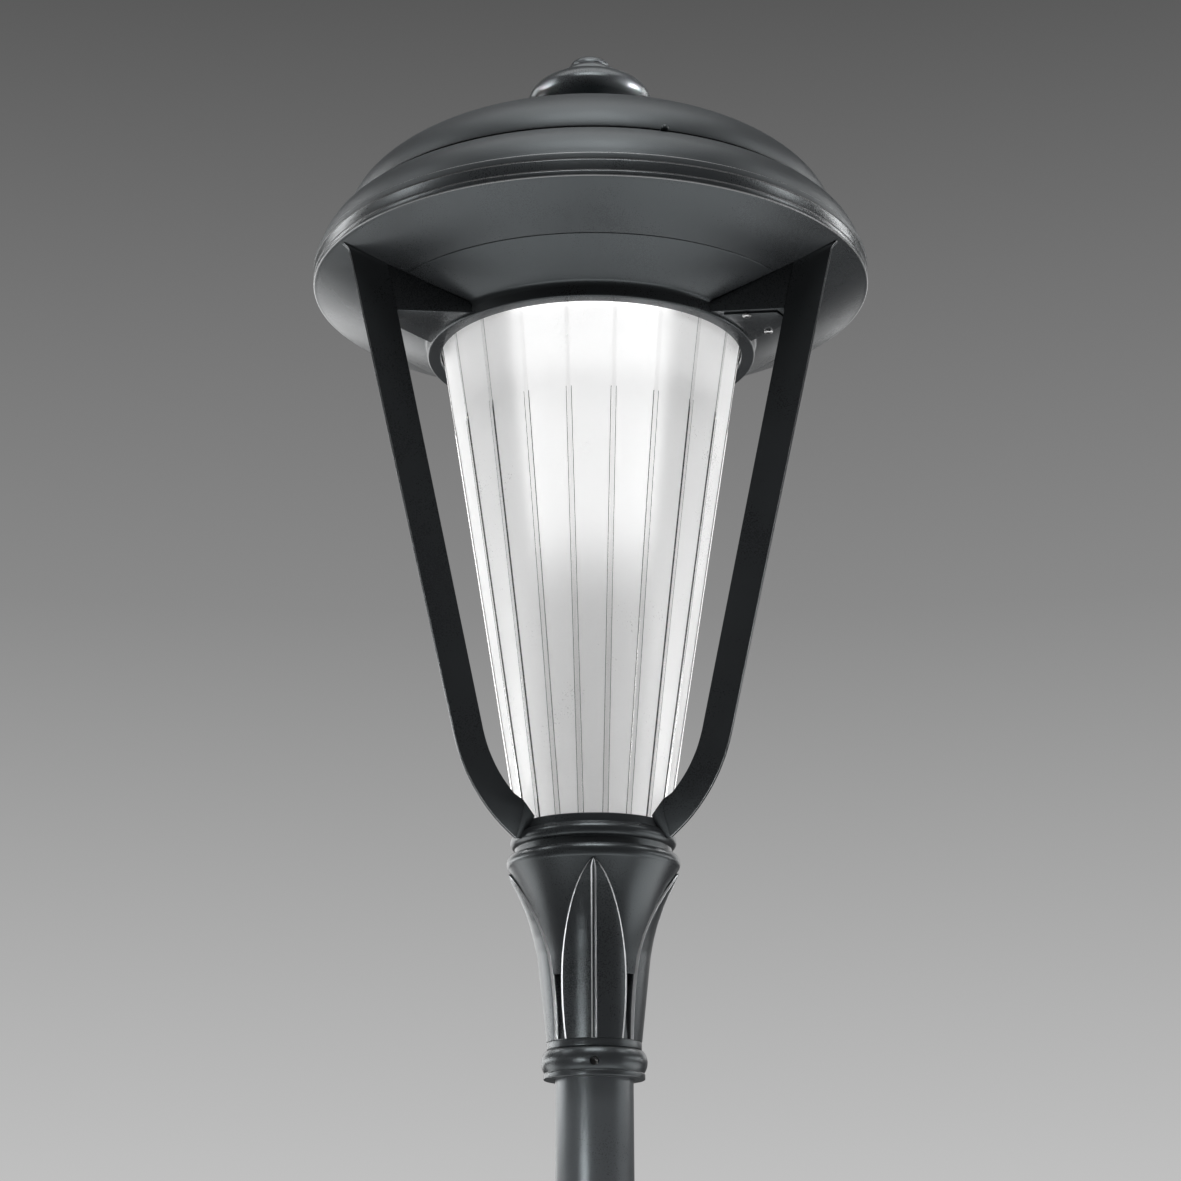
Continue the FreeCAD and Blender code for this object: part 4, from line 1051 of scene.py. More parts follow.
@dataclass
class Arms:
    """The three arms, each a channel of V section that follows one bent line.

    Attributes:
        heel: radius and height where the foot turns into the bend.
        heel_slope: rise of the foot for each millimetre of radius.
        bend: radius of the bend.
        bend_top: radius and height where the straight part starts.
        lean: how much the straight part leans outwards for each millimetre of height.
        nose: how far the sharp edge of the V is cut back.
        wall: width of the wall, measured along the radius.
        joint: radius at which the foot meets the cup's lug.
        back: radius and height where the straight part of the rear edges starts.
        back_lean: how much that part leans outwards for each millimetre of height.
        back_bend: radius of the rear edges' bend.
        back_foot: radius and height where that bend starts.
        cone_edge: radius and height of the canopy underside's outer edge.
        cone_slope: rise of the underside for each millimetre of radius.
        flare: radius of the hollow in which the head runs out into the underside.
    """

    FOOT_ROWS: ClassVar[tuple[float, ...]] = (229.9, 231.5, 236.0, 242.0, 249.0, 256.0, 263.7)
    BEND_ROWS: ClassVar[int] = 10
    STRAIGHT_ROWS: ClassVar[tuple[float, ...]] = (
        400.0, 480.0, 560.0, 640.0, 720.0, 770.0, 840.0)
    HEAD_CUTS: ClassVar[tuple[float, ...]] = (6.4, 4.6, 3.2, 2.2, 0.0)

    heel: Point = (94.44, 231.74)
    heel_slope: float = 0.684
    bend: float = 165.0
    bend_top: Point = (159.66, 326.03)
    lean: float = 0.2557
    nose: float = 3.5
    wall: float = 12.3
    joint: float = 88.0
    back: Point = (131.0, 330.5)
    back_lean: float = 0.2436
    back_bend: float = 132.0
    back_foot: Point = (91.1, 263.7)
    cone_edge: Point = (288.3, 819.6)
    cone_slope: float = 0.4845
    flare: float = 5.4

    def build(self) -> None:
        """Builds the arms."""
        for name, angle in ARM_ANGLES.items():
            arm = turned(self._arm(), angle)
            show(arm, f"{name}_arm_channel", COAT, f"arm_{name}", edges=PAINTED_EDGE_HIGHLIGHT)

    def outer_line(self, height: float) -> float:
        """Radius of the V's sharp edge at a height.

        Args:
            height: height above the collar's lower edge.

        Returns:
            The radius in millimetres.
        """
        if height >= self.bend_top[1]:
            return self.bend_top[0] + self.lean * (height - self.bend_top[1])
        if height <= self.heel[1]:
            return self.heel[0] + (height - self.heel[1]) / self.heel_slope
        return arc_radius(self.heel, self.bend_top, -self.bend, height)

    def back_line(self, height: float) -> float:
        """Radius of the legs' rear edges at a height.

        Args:
            height: height above the collar's lower edge.

        Returns:
            The radius in millimetres.
        """
        if height >= self.back[1]:
            return self.back[0] + self.back_lean * (height - self.back[1])
        if height <= self.back_foot[1]:
            return self.joint
        return arc_radius(self.back_foot, self.back, -self.back_bend, height)

    def _section(self, height: float) -> list[Vector]:
        """Half of the arm's section at a height, from the nose round to the inside of the V.

        Args:
            height: height above the collar's lower edge.

        Returns:
            Points of (radius, sideways).
        """
        edge = self.outer_line(height)
        back = max(self.back_line(height), self.joint)
        nose = max(edge - self.nose, self.joint)
        nose_side = (edge - nose) * TAN_ARM
        leg_side = max((edge - back) * TAN_ARM, nose_side + 0.4)
        inner_side = max((edge - self.wall - back) * TAN_ARM, 0.25)
        inner_nose = max(edge - self.wall, back)
        return [Vector((nose, 0.0)), Vector((nose, nose_side)), Vector((back, leg_side)),
                Vector((back, min(inner_side, leg_side - 0.2))), Vector((inner_nose, 0.0))]

    def _arm(self) -> bmesh.types.BMesh:
        """One arm, in the +X direction.

        Returns:
            The closed arm with its edges rounded.
        """
        low, high = self.back_foot[1], self.back[1]
        heights = list(self.FOOT_ROWS)
        heights += [low + (high - low) * step / self.BEND_ROWS
                    for step in range(1, self.BEND_ROWS + 1)]
        heights += self.STRAIGHT_ROWS
        bm = bmesh.new()
        start = [Vector((p.x, p.y, heights[0])) * MM for p in self._section(heights[0])]
        edges = wire(bm, start, False)
        for height in heights[1:]:
            grown = bmesh.ops.extrude_edge_only(bm, edges=edges)["geom"]
            verts = [item for item in grown if isinstance(item, bmesh.types.BMVert)]
            edges = [item for item in grown if isinstance(item, bmesh.types.BMEdge)]
            self._place_row(verts, edges, self._section(height), height)
        bmesh.ops.holes_fill(bm, edges=[edge for edge in bm.edges if edge.is_boundary], sides=0)
        slope = Vector((-self.cone_slope, 0.0, 1.0)).normalized()
        point = Vector((self.cone_edge[0] * MM, 0.0, (self.cone_edge[1] + 1.2) * MM))
        for depth in self.HEAD_CUTS:
            geometry = list(bm.verts) + list(bm.edges) + list(bm.faces)
            bmesh.ops.bisect_plane(bm, geom=geometry, plane_co=point - slope * depth * MM,
                                   plane_no=slope, clear_outer=depth == 0.0)
        self._flare(bm, point, slope)
        geometry = list(bm.verts) + list(bm.edges) + list(bm.faces)
        bmesh.ops.mirror(bm, geom=geometry, matrix=Matrix.Identity(4), merge_dist=1e-6, axis="Y")
        bmesh.ops.remove_doubles(bm, verts=bm.verts, dist=MERGE)
        cap(bm)
        # Bevel faces along the nose take the painted highlight finish.
        for face in bevel_sharp(bm, 0.7, 2, 20.0):
            centre = face.calc_center_median() / MM
            face.material_index = int(centre.x > self.outer_line(centre.z) - self.nose - 1.5)
        return bm

    def _flare(self, bm: bmesh.types.BMesh, point: Vector, slope: Vector) -> None:
        """Spreads the head of half an arm where it runs out into the underside.

        Args:
            bm: the half of the arm on the +Y side.
            point: a point of the plane that cuts the arm.
            slope: the plane's normal.
        """
        run = self.flare
        for vert in bm.verts:
            below = -(vert.co - point).dot(slope) / MM - 1.0
            if below > run:
                continue
            height = vert.co.z / MM
            spread = run - math.sqrt(max(run * run - (run - max(below, 0.0)) ** 2, 0.0))
            if vert.co.x / MM > self.outer_line(height) - self.nose - 0.2:
                vert.co.x += spread * MM
            elif vert.co.x / MM > self.back_line(height) + 0.5 and vert.co.y > 0.4 * MM:
                vert.co.x += spread * SIN_ARM * MM
                vert.co.y += spread * COS_ARM * MM

    def _place_row(self, verts: list[bmesh.types.BMVert], edges: list[bmesh.types.BMEdge],
                   section: list[Vector], height: float) -> None:
        """Moves a new row of the arm to its height.

        Args:
            verts: the row's vertices.
            edges: the row's edges.
            section: points of the section at that height.
            height: height above the collar's lower edge.
        """
        inside = [vert for vert in verts if sum(vert in edge.verts for edge in edges) == 1]
        first = max(inside, key=lambda vert: vert.co.x)
        chain, seen = [first], {first}
        while len(chain) < len(verts):
            step = next(edge.other_vert(chain[-1]) for edge in edges
                        if chain[-1] in edge.verts and edge.other_vert(chain[-1]) not in seen)
            chain.append(step)
            seen.add(step)
        for vert, point in zip(chain, section):
            vert.co = Vector((point.x * MM, point.y * MM, height * MM))


@dataclass
class Canopy:
    """Frame ring, rim, bead, seam, dome, catch and finial.

    Attributes:
        rim: largest radius.
        edge: radius and height where the underside meets the rim.
        slope: rise of the underside for each millimetre of radius.
        seam: radius of the seam between frame ring and lamp tray.
        gap: width of that seam.
        ledge: inner radius of the ledge that carries the tray.
        band: inner radius of the rim's bands.
        band_foot: height of the middle band's lower edge.
        band_top: height of its upper edge.
        edge_reach: how far in from the rim its rounded edges take the painted highlight finish.
        dome: radius of the dome at its foot.
        dome_foot: height of the dome's foot.
        dome_rise: rise of the dome.
        dome_wall: thickness of the dome at the crown.
        dome_side: thickness of the dome at its foot.
        dome_rows: rows of faces from foot to crown.
        dome_edge: width of the dome's rounded foot.
        bolt_hole: radius of the hole for the finial's bolt.
        catch_angle: direction of the catch about Z.
        catch_radius: radius of the catch.
        catch_depth: height of the catch.
        catch_place: radius and height of its middle.
        tongue_size: length, width and height of its tongue.
        tongue_place: radius and height of the tongue's middle.
    """

    rim: float = 292.0
    edge: Point = (288.3, 819.6)
    slope: float = 0.4845
    seam: float = 227.2
    gap: float = 0.5
    ledge: float = 214.0
    band: float = 276.0
    band_foot: float = 826.5
    band_top: float = 838.0
    edge_reach: float = 1.3
    dome: float = 259.5
    dome_foot: float = 889.0
    dome_rise: float = 102.7
    dome_wall: float = 4.0
    dome_side: float = 6.0
    dome_rows: int = 40
    dome_edge: float = 0.9
    bolt_hole: float = 4.1
    catch_angle: float = -74.0
    catch_radius: float = 3.6
    catch_depth: float = 4.4
    catch_place: Point = (264.0, 888.9)
    tongue_size: Place = (8.0, 7.0, 1.9)
    tongue_place: Point = (260.4, 888.0)

    def under(self, radius: float) -> float:
        """Height of the underside at a radius."""
        return self.edge[1] - self.slope * (self.edge[0] - radius)

    def build(self) -> None:
        """Builds every piece of the canopy."""
        self._frame_ring()
        self._rim_ring()
        self._bead_ring()
        self._seam()
        self._dome()
        self._catch()
        self._finial()

    def _show_ring(self, corners: Sequence[Corner], name: str, finish: Finish, node: str) -> None:
        """Turns and shows one ring of the rim, with the painted highlight finish on its rounded
        edges.

        Args:
            corners: its side view.
            name: the piece's name.
            finish: its finish.
            node: the CAD node that it stands for.
        """
        ring = mark_highlight_edges(lathe(corners, FINE_TURN), self.rim - self.edge_reach)
        show(ring, name, finish, node, edges=RIM_PAINTED_HIGHLIGHT)

    def _frame_ring(self) -> None:
        """The outer underside with the lowest band of the rim."""
        inner, ledge, band = self.seam + self.gap, self.ledge, self.band
        self._show_ring([
            Corner(inner, self.under(inner), 0.7),
            Corner(self.edge[0], self.edge[1], 0.9),
            Corner(self.rim, self.edge[1] + 1.4, 1.4),
            Corner(self.rim, self.band_foot, 1.2),
            Corner(band, self.band_foot, 0.5),
            Corner(band, self.under(band) + 6.0, 0.5),
            Corner(ledge, self.under(ledge) + 9.5, 0.5),
            Corner(ledge, self.under(ledge) + 4.5, 0.5),
            Corner(inner, self.under(inner) + 4.5, 0.4),
        ], "canopy_frame", COAT, "frame_ring")

    def _rim_ring(self) -> None:
        """The middle band of the rim."""
        self._show_ring([
            Corner(self.band, self.band_foot, 0.5),
            Corner(self.rim, self.band_foot, 1.2),
            Corner(self.rim, self.band_top, 1.2),
            Corner(self.band, self.band_top, 0.5),
        ], "rim_band", COAT, "rim_ring")

    def _bead_ring(self) -> None:
        """The top band of the rim with the convex bead over it."""
        self._show_ring([
            Corner(self.band, self.band_top, 0.4),
            Corner(278.0, self.band_top, 0.3),
            Corner(278.0, 841.0, 0.3),
            Corner(282.5, 841.0, 0.3),
            Corner(282.5, self.band_top, 0.3),
            Corner(self.rim, self.band_top, 1.2),
            Corner(self.rim, 845.0, 1.3),
            Corner(288.3, 846.0, 0.6, -49.3),
            Corner(262.0, 886.0, 0.7),
            Corner(260.6, 887.0, 0.5),
            Corner(248.0, 887.0, 0.5),
            Corner(248.0, 882.0, 0.5),
            Corner(262.6, 880.0, 0.0, 44.3),
            Corner(283.3, 846.0, 0.5),
            Corner(self.band, 846.0, 0.5),
        ], "canopy_bead", MATT_COAT, "canopy_ring")

    def _seam(self) -> None:
        """The dark seal in the seam under the dome."""
        show(lathe([
            Corner(249.0, self.dome_foot - 2.0, 0.3),
            Corner(256.5, self.dome_foot - 2.0, 0.3),
            Corner(256.5, self.dome_foot, 0.3),
            Corner(249.0, self.dome_foot, 0.3),
        ], 160), "seam_seal", SEAL, "dome_seal")

    def _dome(self) -> None:
        """The dome, from its foot to the crown and back inside."""
        walls = []
        for radius, rise in ((self.dome, self.dome_rise),
                             (self.dome - self.dome_side, self.dome_rise - self.dome_wall)):
            wall = [Corner(radius, self.dome_foot, self.dome_edge)]
            for step in range(1, self.dome_rows):
                angle = math.radians(90.0) * step / self.dome_rows
                wall.append(Corner(radius * math.cos(angle),
                                   self.dome_foot + rise * math.sin(angle)))
            walls.append(wall + [Corner(self.bolt_hole, self.dome_foot + rise)])
        corners = walls[0] + walls[1][::-1]
        # The dome's rounded foot takes the painted highlight finish.
        shell = mark_highlight_edges(lathe(corners, FINE_TURN), self.dome - self.dome_edge)
        show(shell, "canopy_dome", MATT_COAT, "dome_cover", edges=RIM_PAINTED_HIGHLIGHT)

    def _catch(self) -> None:
        """The small rounded catch on the seam."""
        bm = bmesh.new()
        radius = self.catch_radius * MM
        bmesh.ops.create_cone(bm, cap_ends=True, segments=28, radius1=radius, radius2=radius,
                              depth=self.catch_depth * MM)
        out, height = self.catch_place
        bmesh.ops.translate(bm, verts=bm.verts, vec=(out * MM, 0, height * MM))
        bevel_sharp(bm, 1.4, 4)
        tongue = bmesh.new()
        bmesh.ops.create_cube(tongue, size=1.0)
        bmesh.ops.scale(tongue, verts=tongue.verts, vec=Vector(self.tongue_size) * MM)
        out, height = self.tongue_place
        bmesh.ops.translate(tongue, verts=tongue.verts, vec=(out * MM, 0, height * MM))
        bevel_sharp(tongue, 0.4, 2)
        show(turned(joined([bm, tongue]), self.catch_angle), "seam_catch", COAT, "cover_catch")

    def _finial(self) -> None:
        """The tiered knob on the crown."""
        base = self.dome_foot + self.dome_rise
        show(lathe([
            Corner(0.0, base + 24),
            Corner(self.bolt_hole, base + 24),
            Corner(self.bolt_hole, base + 1),
            Corner(42.0, base + 1, 0.3),
            Corner(42.0, base - 1.35, 0.3),
            Corner(46.0, base - 1.62, 0.5),
            Corner(46.0, base + 2, 0.6),
            Corner(38.0, base + 12, 0.0, 22.0),
            Corner(46.0, base + 33, 0.8),
            Corner(62.0, base + 43, 0.0, -14.0),
            Corner(66.2, base + 57, 0.0, -26.0),
            Corner(54.0, base + 71, 1.0, -22.0),
            Corner(36.5, base + 75.5, 0.8),
            Corner(34.5, base + 78, 0.0, -14.0),
            Corner(27.0, base + 90, 0.8),
            Corner(21.5, base + 91.5, 0.8, -9.0),
            Corner(14.0, base + 103, 0.5),
            Corner(9.0, base + 106.6, 0.5),
            Corner(4.0, base + 108.5, 0.5),
            Corner(0.0, base + 109),
        ], 128, closed=False), "crown_finial", COAT, "finial")


@dataclass
class Tray:
    """The lamp tray with its ring and brackets, the cable cover and its screws.

    Attributes:
        hole: radius of the hole for the diffuser.
        outer: outer radius of the ring round the diffuser.
        seam: radius of the seam between frame ring and lamp tray.
        bottom: height of the ring's lower edge.
        bracket_floor: height of the brackets' undersides.
        bracket_foot: radius at which the brackets start, inside the ring.
        bracket_wall: thickness of the brackets' walls.
        bracket_gap: play between a bracket and its arm.
        cover_wall: thickness of the cover plate.
        screw_station: radius at which the cover's screws stand.
        screw_half: half of the distance between them.
        cross_wing: half of the width of a screw's cross.
        cross_reach: half of its length.
    """

    HEAD_STEPS: ClassVar[int] = 24
    HEAD_RINGS: ClassVar[tuple[Point, ...]] = (
        (4.6, 0.4), (4.6, -0.9), (4.35, -1.6), (3.7, -2.1), (2.9, -2.35))

    hole: float = 157.5
    outer: float = 171.5
    seam: float = 227.2
    bottom: float = 748.0
    bracket_floor: float = 751.0
    bracket_foot: float = 165.0
    bracket_wall: float = 4.0
    bracket_gap: float = 0.4
    cover_wall: float = 2.5
    screw_station: float = 195.5
    screw_half: float = 24.5
    cross_wing: float = 0.62
    cross_reach: float = 2.5

    def build(self, arms: Arms, canopy: Canopy) -> None:
        """Builds the tray, its brackets and the cable cover.

        Args:
            arms: the arms that the brackets reach.
            canopy: the canopy whose underside they join.
        """
        under = canopy.under
        body = lathe([
            Corner(self.seam, under(self.seam), 0.7),
            Corner(self.seam, under(self.seam) + 4.5, 0.4),
            Corner(178.0, 770.6, 0.5),
            Corner(168.0, 770.6, 0.4),
            Corner(168.0, 752.0, 0.4),
            Corner(self.hole, 752.0, 0.5),
            Corner(self.hole, self.bottom, 0.8),
            Corner(self.outer, self.bottom, 2.4),
            Corner(self.outer, under(174.0) - 1.2, 5.0),
            Corner(178.0, under(178.0), 3.0),
        ], 192)
        brackets = [turned(self._bracket(arms, canopy), angle) for angle in ARM_ANGLES.values()]
        show(joined([body] + brackets), "tray_with_brackets", COAT, "lamp_tray")
        right = ARM_ANGLES["right"]
        show(turned(self._cover(arms), right), "cover_plate", COAT, "cable_cover")
        show(turned(self._cover_screws(), right), "cover_plate_screws", SCREW, "cable_cover_screws")

    @staticmethod
    def _taper(radii: Point, edge: float, height: float) -> list[Vector]:
        """A level outline between the legs of an arm's V.

        Args:
            radii: radius of its inner and outer end.
            edge: radius at which its sides would meet.
            height: height above the collar's lower edge.

        Returns:
            Its four corners, in metres.
        """
        one_side = [Vector((radius, (edge - radius) * TAN_ARM, height)) * MM for radius in radii]
        return one_side + [Vector((p.x, -p.y, p.z)) for p in reversed(one_side)]

    def _bracket(self, arms: Arms, canopy: Canopy) -> bmesh.types.BMesh:
        """A wedge bracket between the ring and an arm, in the +X direction.

        Args:
            arms: the arm that it reaches.
            canopy: the canopy whose underside it joins.

        Returns:
            The closed bracket.
        """
        bm = bmesh.new()
        floor = self.bracket_floor
        radii = (self.bracket_foot, arms.back_line(floor) - self.bracket_gap)
        for vert in raised(bm, self._taper(radii, arms.outer_line(floor), floor)):
            radius = vert.co.x / MM
            top = canopy.under(radius) + 1.0
            if radius > sum(radii) / 2:
                top = canopy.under(radius + 10.0) + 1.0
                radius = arms.back_line(top) - self.bracket_gap
            half = (arms.outer_line(top) - radius) * TAN_ARM
            vert.co = Vector((radius, math.copysign(half, vert.co.y), top)) * MM
        bmesh.ops.recalc_face_normals(bm, faces=bm.faces)
        bevel_sharp(bm, 0.8, 2)
        return bm

    def _cover(self, arms: Arms) -> bmesh.types.BMesh:
        """The cover plate under the right bracket, in the +X direction.

        Args:
            arms: the arm whose line gives the plate its taper.

        Returns:
            The closed plate.
        """
        low = self.bracket_floor - self.cover_wall
        edge = arms.outer_line(low) - self.bracket_wall / SIN_ARM
        radii = (self.outer + 4.0, arms.back_line(low) - 8.0)
        bm = bmesh.new()
        top = raised(bm, self._taper(radii, edge, low))
        bmesh.ops.translate(bm, verts=top, vec=(0, 0, self.cover_wall * MM))
        bmesh.ops.recalc_face_normals(bm, faces=bm.faces)
        bevel_sharp(bm, 0.6, 2)
        return bm

    def _cover_screws(self) -> bmesh.types.BMesh:
        """The two cross-head screws of the cover.

        Returns:
            Both heads as one mesh.
        """
        heads = []
        for side in (1.0, -1.0):
            head = self._screw_head()
            place = Vector((self.screw_station, side * self.screw_half,
                            self.bracket_floor - self.cover_wall))
            bmesh.ops.translate(head, verts=head.verts, vec=place * MM)
            heads.append(head)
        return joined(heads)

    def _screw_head(self) -> bmesh.types.BMesh:
        """A round head that points down, with a cross recess.

        Returns:
            The closed head.
        """
        bm = bmesh.new()
        wing, reach, middle = self.cross_wing, self.cross_reach, 1.6
        quarter = [(reach, 0.0), (reach, wing), (middle, wing),
                   (wing, wing), (wing, middle), (wing, reach)]

        def circle(radius: float, height: float) -> list[bmesh.types.BMEdge]:
            """A loop of edges at a height, with as many corners as the cross has.

            Args:
                radius: the circle's radius.
                height: height above the cover's lower face.

            Returns:
                The loop's edges.
            """
            angles = [math.tau * step / self.HEAD_STEPS for step in range(self.HEAD_STEPS)]
            spots = [(radius * math.cos(angle), radius * math.sin(angle)) for angle in angles]
            return wire(bm, [Vector((x, y, height)) * MM for x, y in spots], True)

        def cross(height: float, share: float) -> list[bmesh.types.BMEdge]:
            """The outline of the cross at a height.

            Args:
                height: height above the cover's lower face.
                share: size beside the full cross.

            Returns:
                The loop's edges.
            """
            places = []
            for turn in range(4):
                spin = Matrix.Rotation(math.radians(90.0 * turn), 3, "Z")
                places += [spin @ Vector((x * share, y * share, height)) * MM for x, y in quarter]
            return wire(bm, places, True)

        loops = [circle(radius, height) for radius, height in self.HEAD_RINGS]
        skin(bm, loops + [cross(-2.4, 1.0), cross(-0.8, 0.75)])
        cap(bm)
        return bm


@dataclass
class Diffuser:
    """The fluted diffuser, the clear ribs between its panels and the dark lips beside the ribs,
    which are painted shade lines.

    Attributes:
        flutes: number of panels.
        foot: radius at the ribs and height of the lower end.
        head: radius at the ribs and height of the upper end.
        rib_half: half of the width of a rib.
        rib_rise: how far a rib stands proud.
        rib_top: height at which the ribs thin out.
        rib_bed: how far a rib's sides reach down to the panels, as a share of a flat panel's fall.
        rib_gap: clearance between a rib and the shell.
        rib_foot: how far above the shell's lower end the ribs start.
        lip_gap: clearance between a rib and its lips.
        lip_width: width of the lips along a rib's sides.
        lip_rise: how far the lips stand proud.
        belly: how far a panel bulges beyond its flat, as a share of the radius.
        wall: thickness of the shell.
    """

    PANEL_STEPS: ClassVar[int] = 8
    RIB_RUN: ClassVar[float] = 9.0

    flutes: int = 20
    foot: Point = (74.2, 238.0)
    head: Point = (157.2, 756.0)
    rib_half: float = 2.3
    rib_rise: float = 0.8
    rib_top: float = 665.0
    rib_bed: float = 0.62
    rib_gap: float = 0.06
    rib_foot: float = 0.5
    lip_gap: float = 0.05
    lip_width: float = 0.6
    lip_rise: float = 0.35
    belly: float = 0.004
    wall: float = 3.0

    def build(self) -> None:
        """Builds the shell, its ribs and the dark lips that paint shade beside them."""
        show(self._shell(), "fluted_diffuser", FROST, "diffuser", sharp=8.0)
        angles = [360.0 * (turn + 0.5) / self.flutes for turn in range(self.flutes)]
        show(joined([turned(self._rib(), angle) for angle in angles]), "diffuser_ribs", RIB)
        # Dark lips beside each rib: painted shade lines.
        lips = [turned(self._rib_shade_lip(side), angle) for angle in angles for side in (-1, 1)]
        show(joined(lips), "diffuser_rib_shade_lips", RIB_SHADE_LINE)

    def radius(self, height: float) -> float:
        """Radius of the shell's corners at a height."""
        share = (height - self.foot[1]) / (self.head[1] - self.foot[1])
        return self.foot[0] + (self.head[0] - self.foot[0]) * share

    def _ring(self, radius: float, height: float) -> list[Vector]:
        """The outline of the panels at a height.

        Args:
            radius: radius at the corners between panels.
            height: height above the collar's lower edge.

        Returns:
            The points of one full turn.
        """
        half_angle = math.pi / self.flutes
        flat = radius * math.cos(half_angle)
        half_chord = radius * math.sin(half_angle)
        steps = self.PANEL_STEPS
        places = []
        for turn in range(self.flutes):
            spin = Matrix.Rotation(2 * half_angle * turn, 3, "Z")
            for step in range(steps):
                across = half_chord * (2 * step / steps - 1)
                out = flat + self.belly * radius * (1 - (across / half_chord) ** 2)
                places.append(spin @ Vector((out, across, height)) * MM)
        return places

    def _shell(self) -> bmesh.types.BMesh:
        """The shell with its inner wall.

        Returns:
            The closed shell.
        """
        bm = bmesh.new()
        low, high = self.foot[1], self.head[1] - 0.4
        rows = [(low, 0.0), (high, 0.0), (high, self.wall), (low, self.wall)]
        loops = [wire(bm, self._ring(self.radius(height) - inset, height), True)
                 for height, inset in rows]
        skin(bm, loops + loops[:1])
        settle(bm)
        return bm

    def _rib(self) -> bmesh.types.BMesh:
        """One clear flat rib along a corner of the shell, in the +X direction.

        Returns:
            The closed bar, which lies on the shell and thins out near its upper end.
        """
        bm = bmesh.new()
        half = self.rib_half
        sag = half * math.tan(math.pi / self.flutes) * self.rib_bed
        rows = [(self.foot[1] + self.rib_foot, 1.0), (self.rib_top - self.RIB_RUN, 1.0),
                (self.rib_top - 5.0, 0.85), (self.rib_top, 0.2), (self.head[1] - 3.0, 0.2)]
        loops = []
        for height, share in rows:
            bed, rise = self.radius(height) + self.rib_gap, self.rib_rise * share
            shoulder = rise - 0.35 * share
            outline = [(0.0, 0.0), (-half, -sag), (-half + 0.12, shoulder), (-half + 0.45, rise),
                       (0.0, rise), (half - 0.45, rise), (half - 0.12, shoulder), (half, -sag)]
            loops.append(wire(bm, [Vector((bed + out, across, height)) * MM
                                   for across, out in outline], True))
        skin(bm, loops)
        cap(bm)
        return bm

    def _rib_shade_lip(self, side: int) -> bmesh.types.BMesh:
        """The fine dark lip along one side of a rib, a painted shade line.

        Args:
            side: -1 or 1 for the side.

        Returns:
            The closed lip.
        """
        bm = bmesh.new()
        near = self.rib_half + self.lip_gap
        far = near + self.lip_width
        fall = math.tan(math.pi / self.flutes) * self.rib_bed
        rows = [(self.foot[1] + self.rib_foot, 1.0), (self.rib_top - self.RIB_RUN, 1.0),
                (self.rib_top, 0.3)]
        loops = []
        for height, share in rows:
            bed, rise = self.radius(height) + self.rib_gap, self.lip_rise * share
            outline = [(near, -near * fall), (near, rise), (far, rise - far * fall),
                       (far, -far * fall)]
            loops.append(wire(bm, [Vector((bed + out, side * across, height)) * MM
                                   for across, out in outline], True))
        skin(bm, loops)
        cap(bm)
        return bm


@dataclass(frozen=True)
class Lamp:
    """A soft rectangular lamp.

    Attributes:
        name: the lamp's name.
        place: where it stands, in metres.
        aim: the point it faces.
        size: its width and height.
        power: its power in watts.
        spread: angle of its beam in degrees.
    """

    name: str
    place: Place
    aim: Place
    size: Point
    power: float
    spread: float = 180.0

    def build(self) -> None:
        """Builds the lamp, which the camera doesn't see."""
        data = bpy.data.lights.new(self.name, "AREA")
        data.shape = "RECTANGLE"
        data.size, data.size_y = self.size
        data.energy = self.power
        data.spread = math.radians(self.spread)
        lamp = bpy.data.objects.new(self.name, data)
        lamp.location = self.place
        way = Vector(self.aim) - Vector(self.place)
        lamp.rotation_euler = way.to_track_quat("-Z", "Y").to_euler()
        bpy.context.scene.collection.objects.link(lamp)
        lamp.visible_camera = False


LAMPS = (
    Lamp("left softbox", (-2.2, -0.5, 2.2), (0, 0, 1.05), (0.5, 0.9), 12),
    Lamp("right softbox", (2.2, -0.3, 2.2), (0, 0, 1.05), (0.5, 0.9), 12),
    Lamp("left finial softbox", (-2.4, -0.40, 1.45), (0, 0, 1.11), (0.14, 0.18), 0.15, 3.5),
    Lamp("right finial softbox", (2.4, -0.25, 1.45), (0, 0, 1.11), (0.14, 0.18), 0.42, 3.5),
    Lamp("left low panel", (-2.0, 1.0, -0.75), (0, 0, 0.2), (1.4, 1.0), 12),
    Lamp("right low panel", (2.1, 0.2, -0.75), (0, 0, 0.2), (2.1, 1.0), 17),
    Lamp("left mid panel", (-2.0, 0.9, 0.3), (0, 0, 0.4), (1.6, 0.4), 12),
    Lamp("right mid panel", (2.1, 0.3, 0.38), (0, 0, 0.4), (2.1, 0.26), 8.5),
    Lamp("left rim strip", (-2.0, 1.05, 1.9), (0, 0, 1.0), (0.25, 0.9), 10),
    Lamp("right rim strip", (2.0, 1.05, 1.9), (0, 0, 1.0), (0.25, 0.9), 10),
    Lamp("front top softbox", (0, -1.75, 3.0), (0, 0, 0.9), (1.7, 0.9), 66),
    Lamp("overhead softbox", (0, -0.25, 3.0), (0, -0.1, 1.0), (2.4, 1.2), 22),
    Lamp("rear left panel", (-1.5, 2.5, 0.9), (0, 0, 0.8), (1.4, 2.0), 16),
    Lamp("rear right panel", (1.5, 2.5, 1.2), (0, 0, 0.8), (1.4, 1.4), 7),
    Lamp("low softbox", (0, 0.2, -1.5), (0, 0.2, 1.0), (3.0, 3.0), 46),
    Lamp("pole softbox", (-0.9, -1.53, -0.3), (0, 0, -0.12), (0.7, 0.3), 0.41, 18.0),
)


